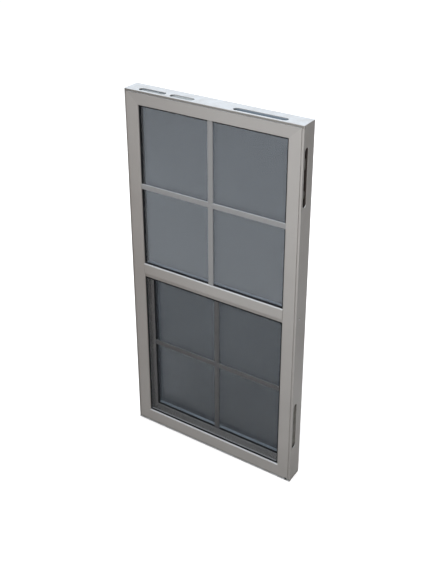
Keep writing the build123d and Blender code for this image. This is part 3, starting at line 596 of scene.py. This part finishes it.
# Black rubber: dull, with a fine grain and a trace of dust with painted skylight
def rubber_finish(name, colour):
    material, tree, shader, places = new_finish(name)
    tone = effect(tree, "mottle", places, patch_scale=25.0, grain_scale=1500.0, grain_share=0.5)
    skin = blend_colours(tree, tone, colour, scaled(colour, 1.9))
    dust_and_skylight_mask = effect(tree, "dust_and_painted_skylight", places, scale=90.0, amount=0.04)
    skin = blend_colours(tree, dust_and_skylight_mask, skin, DUST_AND_SKYLIGHT_COLOUR)
    join(tree, skin, shader.inputs["Base Color"])
    join(tree, spread(tree, tone, 0.0, 1.0, 0.6, 0.85), shader.inputs["Roughness"])
    shader.inputs["Specular IOR Level"].default_value = 0.12
    raise_grain(tree, shader, tone, 0.0002, 0.5)
    return material


# Anodised spacer bar: black sealant on its front, grey sides, and a painted skylight colour where it lies
# level
def spacer_finish(name, side, level):
    material, tree, shader, places = new_finish(name)
    tone = effect(tree, "mottle", places, patch_scale=14.0, grain_scale=500.0, grain_share=0.3)
    skin = blend_colours(tree, tone, side, scaled(side, 0.8))
    surface = add(tree, "ShaderNodeNewGeometry")
    parts = split(tree, surface.outputs["Normal"])
    # Faces that lie level take a painted skylight colour
    skin = blend_colours(tree, spread(tree, parts["Z"], 0.4, 0.9), skin, level)
    front = arithmetic(tree, "ABSOLUTE", parts["Y"])
    skin = blend_colours(tree, spread(tree, front, 0.5, 0.9), skin, SEALANT)
    join(tree, skin, shader.inputs["Base Color"])
    join(tree, spread(tree, tone, 0.0, 1.0, 0.35, 0.5), shader.inputs["Roughness"])
    shader.inputs["Specular IOR Level"].default_value = 0.3
    return material


# Woven pile: short upright hairs shown as fine streaks
def pile_finish():
    material, tree, shader, places = new_finish("brush_pile")
    hairs = add(tree, "ShaderNodeMapping", {"Scale": (1.0, 0.12, 1.0)})
    join(tree, places, hairs.inputs["Vector"])
    stretched = hairs.outputs["Vector"]
    tone = effect(tree, "mottle", stretched, patch_scale=300.0, grain_scale=2600.0, grain_share=0.6)
    skin = blend_colours(tree, tone, PILE, scaled(PILE, 2.2))
    join(tree, skin, shader.inputs["Base Color"])
    join(tree, spread(tree, tone, 0.0, 1.0, 0.8, 0.95), shader.inputs["Roughness"])
    raise_grain(tree, shader, tone, 0.0008, 0.8)
    return material


# Cut foam: open cells of two sizes
def foam_finish(name, colour):
    material, tree, shader, places = new_finish(name)
    cells = add(tree, "ShaderNodeTexVoronoi", {"Scale": 420.0})
    join(tree, places, cells.inputs["Vector"])
    tone = effect(tree, "mottle", places, patch_scale=60.0, grain_scale=700.0, grain_share=0.4)
    skin = blend_colours(tree, tone, colour, scaled(colour, 0.6))
    join(tree, skin, shader.inputs["Base Color"])
    join(tree, spread(tree, tone, 0.0, 1.0, 0.75, 0.95), shader.inputs["Roughness"])
    raise_grain(tree, shader, cells.outputs["Distance"], 0.0015, 0.9)
    return material


# The finish of each material slot, and of single nodes and pieces
FINISHES = {
    "vinyl": vinyl_finish("frame_vinyl", VINYL, VINYL_SHADE, dust_and_skylight=0.95, low_darkening=0.12, scuff=0.12),
    # The head's vinyl is a darker copy of the frame's: painted shade
    "head_vinyl_painted_shade": vinyl_finish("head_vinyl_painted_shade", HEAD_VINYL_PAINTED_SHADE, VINYL_SHADE, dust_and_skylight=0.95, low_darkening=0.12, scuff=0.12),
    # Sash and beads: a lighter copy of the frame vinyl, painted light
    "sash_vinyl": vinyl_finish(
        # Sash edges lightened at full strength: painted highlights
        "sash_vinyl", SASH_VINYL_PAINTED_LIGHT, VINYL, dust_and_skylight=0.35, low_darkening=0.1, scuff=0.1, edge_highlight=1.0, edge_highlight_radius=0.003
    ),
    "bead_vinyl": vinyl_finish("bead_vinyl", SASH_VINYL_PAINTED_LIGHT, VINYL, dust_and_skylight=0.35, low_darkening=0.1, scuff=0.1),
    "bar_finish": painted_finish("bar_paint", BAR_PAINT),
    "outer_glass": glass_finish("outer_glass", OUTER_GLASS, 0.8),
    "inner_glass": glass_finish("inner_glass", INNER_GLASS, 0.1),
    "sash_inner_glass": glass_finish("sash_inner_glass", SASH_INNER_GLASS, 0.1),
    "upper_spacer_metal": spacer_finish("upper_spacer_metal", UPPER_SPACER_PAINTED_SHADE_SIDE, UPPER_SPACER_PAINTED_SKYLIGHT),
    "sash_spacer_metal": spacer_finish("sash_spacer_metal", SASH_SPACER_SIDE, SASH_SPACER_PAINTED_SKYLIGHT),
    "black_rubber": rubber_finish("black_rubber", RUBBER),
    "setting_rubber": rubber_finish("setting_rubber", BLOCK_RUBBER),
    # Screen frame paint lightened: painted light
    "screen_frame": painted_finish("screen_paint", SCREEN_PAINT_PAINTED_LIGHT, dust_and_skylight=0.8),
    "lip_paint": painted_finish("lip_paint", LIP_PAINT),
    "screen_cloth": painted_finish("screen_wire", WIRE, (0.5, 0.7), 0.1, 0.1),
    "hardware": painted_finish("lock_paint", HARDWARE),
    "balance_steel": metal_finish("balance_steel", STEEL, (0.35, 0.55), (1.0, 1.0, 0.05)),
    "screw_steel": metal_finish("screw_steel", STEEL, (0.3, 0.45), (1.0, 1.0, 1.0)),
    "shoe_plastic": painted_finish("shoe_nylon", NYLON, (0.4, 0.6)),
    "brush_pile": pile_finish(),
    "foam": foam_finish("filling_foam", FOAM),
    "dark_foam": foam_finish("grey_foam", DARK_FOAM),
}


# Nodes with a finish other than that of their material slot
SPECIAL = {
    "upper_outer_glass": "outer_glass",
    "sash_outer_glass": "outer_glass",
    "upper_inner_glass": "inner_glass",
    "sash_inner_glass": "sash_inner_glass",
    "setting_blocks": "setting_rubber",
    "frame_head": "head_vinyl_painted_shade",
    "upper_spacer": "upper_spacer_metal",
    "sash_spacer": "sash_spacer_metal",
}
SLOT_OF = {part["node"]: part["material_slot"] for part in frame["record"]["subparts"]}

for node_name, node_object in frame["nodes"].items():
    finish = FINISHES[SPECIAL.get(node_name) or SLOT_OF.get(node_name, "vinyl")]
    node_object.data.materials.clear()
    node_object.data.materials.append(finish)


BODY = next(iter(frame["bodies"]))


def finish_piece(piece, finish):
    piece.data.materials.clear()
    piece.data.materials.append(FINISHES[finish])
    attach(piece, BODY)


def piece_from_mesh(name, mesh):
    piece = bpy.data.objects.new(name, mesh)
    bpy.context.scene.collection.objects.link(piece)
    return piece


def piece_from_bmesh(name, made):
    mesh = bpy.data.meshes.new(name)
    bmesh.ops.recalc_face_normals(made, faces=made.faces)
    made.to_mesh(mesh)
    made.free()
    return piece_from_mesh(name, mesh)


# Geometry trees, which end in plain meshes
def geometry_tree(name, inputs):
    tree = bpy.data.node_groups.new(name, "GeometryNodeTree")
    for label, kind, value in inputs:
        socket = tree.interface.new_socket(name=label, in_out="INPUT", socket_type=kind)
        if value is not None:
            socket.default_value = value
    tree.interface.new_socket(name="Geometry", in_out="OUTPUT", socket_type="NodeSocketGeometry")
    return tree, tree.nodes.new("NodeGroupInput"), tree.nodes.new("NodeGroupOutput")


def grow(tree, name, values, carrier=None):
    mesh = carrier or bpy.data.meshes.new(name + "_seed")
    holder = bpy.data.objects.new(name + "_seed", mesh)
    bpy.context.scene.collection.objects.link(holder)
    modifier = holder.modifiers.new("growth", "NODES")
    modifier.node_group = tree
    inputs = [item for item in tree.interface.items_tree if item.in_out == "INPUT"]
    identifiers = {item.name: item.identifier for item in inputs}
    for label, value in values.items():
        modifier[identifiers[label]] = value
    evaluated = holder.evaluated_get(bpy.context.evaluated_depsgraph_get())
    mesh = bpy.data.meshes.new_from_object(evaluated)
    holder.modifiers.remove(modifier)
    bpy.data.objects.remove(holder)
    mesh.name = name
    return piece_from_mesh(name, mesh)


# One set of parallel wires: a thin square bar repeated along a line
def wire_tree():
    tree, entry, leave = geometry_tree(
        "parallel_wires",
        [("Count", "NodeSocketInt", 10), ("First", "NodeSocketVector", None),
         ("Step", "NodeSocketVector", None), ("Bar size", "NodeSocketVector", None),
         ("Material", "NodeSocketMaterial", None)],
    )
    line = add(tree, "GeometryNodeMeshLine", mode="OFFSET", count_mode="TOTAL")
    join(tree, entry.outputs["Count"], line.inputs["Count"])
    join(tree, entry.outputs["First"], line.inputs["Start Location"])
    join(tree, entry.outputs["Step"], line.inputs["Offset"])
    bar = add(tree, "GeometryNodeMeshCube")
    join(tree, entry.outputs["Bar size"], bar.inputs["Size"])
    copies = add(tree, "GeometryNodeInstanceOnPoints")
    join(tree, line.outputs["Mesh"], copies.inputs["Points"])
    join(tree, bar.outputs["Mesh"], copies.inputs["Instance"])
    real = add(tree, "GeometryNodeRealizeInstances")
    join(tree, copies.outputs["Instances"], real.inputs["Geometry"])
    finish = add(tree, "GeometryNodeSetMaterial")
    join(tree, real.outputs["Geometry"], finish.inputs["Geometry"])
    join(tree, entry.outputs["Material"], finish.inputs["Material"])
    join(tree, finish.outputs["Geometry"], leave.inputs["Geometry"])
    return tree


WIRES = wire_tree()


def parallel_bars(name, first, step, count, size, finish):
    values = {"Count": count, "First": first, "Step": step, "Bar size": size, "Material": FINISHES[finish]}
    return grow(WIRES, name, values)


def join_pieces(name, pieces):
    made = bmesh.new()
    for piece in pieces:
        made.from_mesh(piece.data)
        mesh = piece.data
        bpy.data.objects.remove(piece)
        bpy.data.meshes.remove(mesh)
    mesh = bpy.data.meshes.new(name)
    made.to_mesh(mesh)
    made.free()
    return piece_from_mesh(name, mesh)


# Insect screen: upright wires in front, level wires behind, touching where they cross
def make_screen_weave():
    low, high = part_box("screen_mesh")
    middle = (low + high) / 2
    size = high - low
    width_count = int(size.x / WIRE_PITCH)
    height_count = int(size.z / WIRE_PITCH)
    front = middle.y - WIRE_DEPTH / 2
    rear = middle.y + WIRE_DEPTH / 2
    first_x = middle.x - (width_count - 1) * WIRE_PITCH / 2
    first_z = middle.z - (height_count - 1) * WIRE_PITCH / 2
    upright = parallel_bars(
        "upright_wires", (first_x, front, middle.z), (WIRE_PITCH, 0, 0), width_count,
        (WIRE_THICKNESS, WIRE_DEPTH, size.z), "screen_cloth",
    )
    level = parallel_bars(
        "level_wires", (middle.x, rear, first_z), (0, 0, WIRE_PITCH), height_count,
        (size.x, WIRE_DEPTH, WIRE_THICKNESS), "screen_cloth",
    )
    weave = join_pieces("insect_screen", [upright, level])
    finish_piece(weave, "screen_cloth")
    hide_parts("screen_mesh")


make_screen_weave()


# Screws with a cross recess, set on small faces that carry their direction
def screw_mesh():
    made = bmesh.new()
    loops = []
    for share, rise in SCREW_RINGS:
        ring = []
        for k in range(SCREW_SIDES):
            angle = 2 * math.pi * k / SCREW_SIDES
            x = SCREW_RADIUS * share * math.cos(angle)
            y = SCREW_RADIUS * share * math.sin(angle)
            ring.append(made.verts.new((x, y, SCREW_HEIGHT * rise)))
        loops.append(ring)
    for lower, upper in zip(loops, loops[1:]):
        for k in range(SCREW_SIDES):
            after = (k + 1) % SCREW_SIDES
            made.faces.new((lower[k], lower[after], upper[after], upper[k]))
    made.faces.new(list(reversed(loops[0])))
    reach, arm = RECESS_REACH, RECESS_ARM
    cross = [
        (reach, -arm), (reach, arm), (arm, arm), (arm, reach), (-arm, reach), (-arm, arm),
        (-reach, arm), (-reach, -arm), (-arm, -arm), (-arm, -reach), (arm, -reach), (arm, -arm),
    ]
    rim = [made.verts.new((x, y, SCREW_HEIGHT)) for x, y in cross]
    foot = [made.verts.new((x * RECESS_TAPER, y * RECESS_TAPER, RECESS_FLOOR)) for x, y in cross]
    for k in range(len(cross)):
        after = (k + 1) % len(cross)
        made.faces.new((rim[k], foot[k], foot[after], rim[after]))
    made.faces.new(foot)
    edges = []
    for ring in (rim, loops[-1]):
        edges += [made.edges.get((ring[k], ring[(k + 1) % len(ring)])) for k in range(len(ring))]
    bmesh.ops.triangle_fill(made, edges=edges, use_beauty=True)
    bmesh.ops.recalc_face_normals(made, faces=made.faces)
    mesh = bpy.data.meshes.new("screw_head")
    made.to_mesh(mesh)
    made.free()
    return mesh


def screw_tree():
    tree, entry, leave = geometry_tree(
        "placed_screws",
        [("Geometry", "NodeSocketGeometry", None), ("Screw", "NodeSocketObject", None),
         ("Scale", "NodeSocketFloat", 1.0), ("Seed", "NodeSocketInt", SCREW_SEED),
         ("Material", "NodeSocketMaterial", None)],
    )
    source = add(tree, "GeometryNodeObjectInfo")
    join(tree, entry.outputs["Screw"], source.inputs["Object"])
    direction = add(tree, "GeometryNodeInputNormal")
    turned = add(tree, "FunctionNodeAlignRotationToVector", axis="Z")
    join(tree, direction.outputs["Normal"], turned.inputs["Vector"])
    spin = add(tree, "FunctionNodeRandomValue", data_type="FLOAT")
    spin.inputs["Min"].default_value = 0.0
    spin.inputs["Max"].default_value = SCREW_TURN
    join(tree, entry.outputs["Seed"], spin.inputs["Seed"])
    angle = add(tree, "ShaderNodeCombineXYZ")
    join(tree, [s for s in spin.outputs if s.type == "VALUE"][0], angle.inputs["Z"])
    spun = add(tree, "FunctionNodeRotateRotation", rotation_space="LOCAL")
    join(tree, turned.outputs["Rotation"], spun.inputs["Rotation"])
    join(tree, angle.outputs["Vector"], spun.inputs["Rotate By"])
    faces = add(tree, "GeometryNodeMeshToPoints", mode="FACES")
    copies = add(tree, "GeometryNodeInstanceOnPoints")
    store = add(tree, "GeometryNodeStoreNamedAttribute", data_type="QUATERNION", domain="FACE")
    store.inputs["Name"].default_value = "turn"
    join(tree, entry.outputs["Geometry"], store.inputs["Geometry"])
    join(tree, spun.outputs["Rotation"], [s for s in store.inputs if s.type == "ROTATION"][0])
    join(tree, store.outputs["Geometry"], faces.inputs["Mesh"])
    read = add(tree, "GeometryNodeInputNamedAttribute", data_type="QUATERNION")
    read.inputs["Name"].default_value = "turn"
    join(tree, faces.outputs["Points"], copies.inputs["Points"])
    join(tree, source.outputs["Geometry"], copies.inputs["Instance"])
    join(tree, [s for s in read.outputs if s.type == "ROTATION"][0], copies.inputs["Rotation"])
    join(tree, entry.outputs["Scale"], copies.inputs["Scale"])
    real = add(tree, "GeometryNodeRealizeInstances")
    join(tree, copies.outputs["Instances"], real.inputs["Geometry"])
    finish = add(tree, "GeometryNodeSetMaterial")
    join(tree, real.outputs["Geometry"], finish.inputs["Geometry"])
    join(tree, entry.outputs["Material"], finish.inputs["Material"])
    join(tree, finish.outputs["Geometry"], leave.inputs["Geometry"])
    return tree


# A carrier mesh with one small face for each screw, whose normal is the screw's direction
def screw_seats(places):
    made = bmesh.new()
    for place, direction in places:
        normal = Vector(direction).normalized()
        side = normal.orthogonal().normalized() * SCREW_SEAT
        up = normal.cross(side)
        corners = [Vector(place) + side, Vector(place) + up, Vector(place) - side, Vector(place) - up]
        made.faces.new([made.verts.new(corner) for corner in corners])
    mesh = bpy.data.meshes.new("screw_seats")
    made.to_mesh(mesh)
    made.free()
    return mesh


def lock_screws():
    low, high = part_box("sash_lock")
    middle_y = (low.y + high.y) / 2
    base_top = low.z + LOCK_BASE
    keeper_low, keeper_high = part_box("lock_keeper")
    keeper_y = (keeper_low.y + keeper_high.y) / 2
    places = [(x, middle_y, base_top) for x in (-LOCK_SCREW_ASIDE, LOCK_SCREW_ASIDE)]
    places += [(x, keeper_y, keeper_high.z) for x in (-KEEPER_SCREW_ASIDE, KEEPER_SCREW_ASIDE)]
    return [(place, (0, 0, 1)) for place in places]


def make_screws():
    single = piece_from_mesh("screw_source", screw_mesh())
    values = {
        "Screw": single, "Scale": SCREW_SCALE, "Seed": SCREW_SEED, "Material": FINISHES["screw_steel"],
    }
    screws = grow(screw_tree(), "lock_screws", values, screw_seats(lock_screws()))
    mesh = single.data
    bpy.data.objects.remove(single)
    bpy.data.meshes.remove(mesh)
    finish_piece(screws, "screw_steel")


make_screws()


# Thumb ribs on both tilt latches
def make_latch_ribs(side):
    low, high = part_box(side + "_tilt_latch")
    sign = -1 if side == "left" else 1
    latch_end = high.x if side == "left" else low.x
    centre_x = latch_end + sign * RIBS_FROM_END
    step = RIB_SPAN / (RIB_COUNT - 1)
    length = (high.y - low.y) * RIB_SHARE
    first = (centre_x - RIB_SPAN / 2, (low.y + high.y) / 2, high.z)
    size = (RIB_WIDTH, length, RIB_WIDTH)
    ribs = parallel_bars(side + "_latch_ribs", first, (step, 0, 0), RIB_COUNT, size, "hardware")
    finish_piece(ribs, "hardware")


for latch_side in ("left", "right"):
    make_latch_ribs(latch_side)


# Foam pressed into the routed slots: a block whose outer skin is lumpy and sinks at its ends
def foam_block(name, length, thickness, seed):
    made = bmesh.new()
    bmesh.ops.create_cube(made, size=1.0)
    bmesh.ops.scale(made, vec=(length, FOAM_WIDTH, thickness), verts=made.verts)
    bmesh.ops.subdivide_edges(made, edges=made.edges, cuts=FOAM_CUTS, use_grid_fill=True)
    for vertex in made.verts:
        if vertex.co.z < thickness * FOAM_SKIN_SHARE:
            continue
        place = vertex.co * FOAM_LUMPS_PER_METRE + Vector((seed, 0, 0))
        lump = noise.fractal(place, FOAM_ROUGHNESS, FOAM_FINENESS, FOAM_LAYERS) * FOAM_LUMP
        to_end = length / 2 - abs(vertex.co.x)
        vertex.co.z += lump - FOAM_END_SINK * math.exp(-to_end / FOAM_END_REACH) - FOAM_SKIN_SINK
    foam = piece_from_bmesh(name, made)
    for face in foam.data.polygons:
        face.use_smooth = True
    return foam


# The block's length runs along X in the head and along Z in a jamb, and its skin faces outwards
def make_slot_foam():
    head_low, head_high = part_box("frame_head")
    slot_y = head_low.y + SLOT_DEPTH
    for name, from_end, length, sunk, seed in HEAD_FOAM:
        foam = foam_block(name, length, HEAD_FOAM_THICKNESS, seed)
        place = (head_low.x + from_end, slot_y, head_high.z - sunk - HEAD_FOAM_THICKNESS / 2)
        foam.data.transform(Matrix.Translation(place))
        finish_piece(foam, "foam")
    jamb_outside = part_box("frame_right_jamb")[1].x
    for name, low_z, high_z, sunk, seed in JAMB_FOAM:
        foam = foam_block(name, high_z - low_z, JAMB_FOAM_THICKNESS, seed)
        foam.data.transform(Matrix.Rotation(math.radians(90.0), 4, "Y"))
        place = (jamb_outside - sunk - JAMB_FOAM_THICKNESS / 2, slot_y, (low_z + high_z) / 2)
        foam.data.transform(Matrix.Translation(place))
        finish_piece(foam, "dark_foam")


make_slot_foam()


# Bent tab that stands out of the lower slot of the left jamb
def make_side_tab():
    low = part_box("frame_left_jamb")[0]
    made = bmesh.new()

    def lines(inwards):
        face, middle = low.x + inwards, low.y + SLOT_DEPTH
        depths = (middle - TAB_HALF_WIDTH, middle + TAB_HALF_WIDTH)
        return [[made.verts.new((face + x, depth, z)) for x, z in TAB_LINE] for depth in depths]

    outer, inner = lines(0.0), lines(TAB_THICKNESS)
    last = len(TAB_LINE) - 1
    for k in range(last):
        made.faces.new((outer[0][k], outer[0][k + 1], outer[1][k + 1], outer[1][k]))
        made.faces.new((inner[0][k], inner[1][k], inner[1][k + 1], inner[0][k + 1]))
        for side in (0, 1):
            made.faces.new((outer[side][k], inner[side][k], inner[side][k + 1], outer[side][k + 1]))
    for k in (0, last):
        made.faces.new((outer[0][k], outer[1][k], inner[1][k], inner[0][k]))
    finish_piece(piece_from_bmesh("side_tab", made), "shoe_plastic")


make_side_tab()


# A strip along the bottom of the screen, drawn out from a section of steps back and up
def bottom_strip(name, section, foot, finish):
    low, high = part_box("screen_spline")
    start_x, end_x = low.x + STRIP_END_GAP, high.x - STRIP_END_GAP
    made = bmesh.new()
    ends = []
    for x in (start_x, end_x):
        ends.append([made.verts.new((x, low.y + across, low.z + foot + up)) for across, up in section])
    count = len(section)
    for k in range(count):
        after = (k + 1) % count
        made.faces.new((ends[0][k], ends[0][after], ends[1][after], ends[1][k]))
    made.faces.new(list(reversed(ends[0])))
    made.faces.new(ends[1])
    finish_piece(piece_from_bmesh(name, made), finish)


# The spline's ribbed upper edge, and above it the inner lip of the screen frame
bottom_strip("spline_edge", SPLINE_EDGE, SPLINE_WIDTH, "black_rubber")
bottom_strip("screen_frame_lip", SCREEN_LIP, SPLINE_WIDTH + SPLINE_EDGE_HEIGHT, "lip_paint")


# Black rubber piece at the drain hole, low on the front of the sill near its right end: painted shade of
# the hole
def make_drain_shade_piece():
    low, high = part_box("frame_sill")
    made = bmesh.new()
    bmesh.ops.create_cube(made, size=1.0)
    bmesh.ops.scale(made, vec=DRAIN_SHADE_PIECE, verts=made.verts)
    bmesh.ops.bevel(made, geom=made.edges, offset=DRAIN_ROUNDING, segments=2, affect="EDGES")
    place = (high.x - DRAIN_FROM_END, low.y + DRAIN_BEHIND_FACE, low.z + DRAIN_HEIGHT)
    bmesh.ops.translate(made, vec=place, verts=made.verts)
    finish_piece(piece_from_bmesh("drain_cover", made), "black_rubber")


make_drain_shade_piece()


# Floor, light and camera
def make_floor():
    made = bmesh.new()
    bmesh.ops.create_grid(made, x_segments=1, y_segments=1, size=FLOOR_SIZE)
    floor = piece_from_bmesh("floor", made)
    material = bpy.data.materials.new("studio_floor")
    material.use_nodes = True
    tree = material.node_tree
    shader = tree.nodes["Principled BSDF"]
    seen = seen_mask(tree)
    join(tree, blend_colours(tree, seen, FLOOR_LIT, FLOOR_SEEN), shader.inputs["Base Color"])
    join(tree, blend_colours(tree, seen, (0.0, 0.0, 0.0), FLOOR_GLOW), shader.inputs["Emission Color"])
    shader.inputs["Emission Strength"].default_value = 1.0
    shader.inputs["Roughness"].default_value = 0.9
    shader.inputs["Specular IOR Level"].default_value = 0.1
    floor.data.materials.append(material)


# What the camera sees, straight on or by way of glass and gloss
def seen_mask(tree):
    rays = add(tree, "ShaderNodeLightPath")
    seen = arithmetic(tree, "MAXIMUM", rays.outputs["Is Camera Ray"], rays.outputs["Is Glossy Ray"])
    return arithmetic(tree, "MAXIMUM", seen, rays.outputs["Is Transmission Ray"])


def make_world():
    world = bpy.data.worlds.new("studio")
    bpy.context.scene.world = world
    world.use_nodes = True
    tree = world.node_tree
    background = tree.nodes["Background"]
    seen = seen_mask(tree)
    join(tree, blend_colours(tree, seen, WORLD_LIT, WORLD_SEEN), background.inputs["Color"])
    background.inputs["Strength"].default_value = 1.0


# A soft lamp that is not seen in the panes or through them
def make_softbox(name, place, aim, size, power, colour):
    data = bpy.data.lights.new(name, "AREA")
    data.shape = "RECTANGLE"
    data.size, data.size_y = size
    data.energy = power
    data.color = colour
    lamp = bpy.data.objects.new(name, data)
    bpy.context.scene.collection.objects.link(lamp)
    lamp.location = place
    lamp.rotation_mode = "QUATERNION"
    lamp.rotation_quaternion = (Vector(aim) - Vector(place)).to_track_quat("-Z", "Y")
    lamp.visible_glossy = False
    lamp.visible_transmission = False


# One wide even light from above, which also keeps the floor white from near to far
def make_sky_light(name, direction, spread_angle, strength, colour):
    data = bpy.data.lights.new(name, "SUN")
    data.energy = strength
    data.angle = math.radians(spread_angle)
    data.color = colour
    lamp = bpy.data.objects.new(name, data)
    bpy.context.scene.collection.objects.link(lamp)
    lamp.rotation_mode = "QUATERNION"
    lamp.rotation_quaternion = (-Vector(direction)).to_track_quat("-Z", "Y")


def make_camera():
    data = bpy.data.cameras.new("camera")
    data.sensor_width = SENSOR
    data.lens = CAMERA_LENS
    data.shift_x, data.shift_y = FRAME_SHIFT
    data.clip_start, data.clip_end = 0.05, 100.0
    camera = bpy.data.objects.new("camera", data)
    bpy.context.scene.collection.objects.link(camera)
    turn, tilt = math.radians(CAMERA_TURN), math.radians(CAMERA_TILT)
    forward = Vector((-math.sin(turn) * math.cos(tilt), math.cos(turn) * math.cos(tilt), -math.sin(tilt)))
    camera.location = CAMERA_PLACE
    camera.rotation_mode = "QUATERNION"
    camera.rotation_quaternion = forward.to_track_quat("-Z", "Y")
    bpy.context.scene.camera = camera


make_floor()
make_world()
make_sky_light(
    "overhead_light", direction=(0.0, -0.06, 1.0), spread_angle=50.0, strength=2.35,
    colour=(0.88, 0.94, 1.0),
)
make_softbox(
    "front_light", place=(0.53, -1.5, 1.6), aim=(0.2, 0.0, 0.7), size=(0.7, 0.7), power=15.4,
    colour=(0.97, 0.985, 1.0),
)
make_softbox(
    "back_light", place=(-1.6, 2.6, 2.4), aim=(0.0, 0.0, 0.7), size=(1.8, 1.8), power=52.0,
    colour=(0.94, 0.97, 1.0),
)
make_camera()

bpy.context.scene.view_settings.view_transform = "Standard"
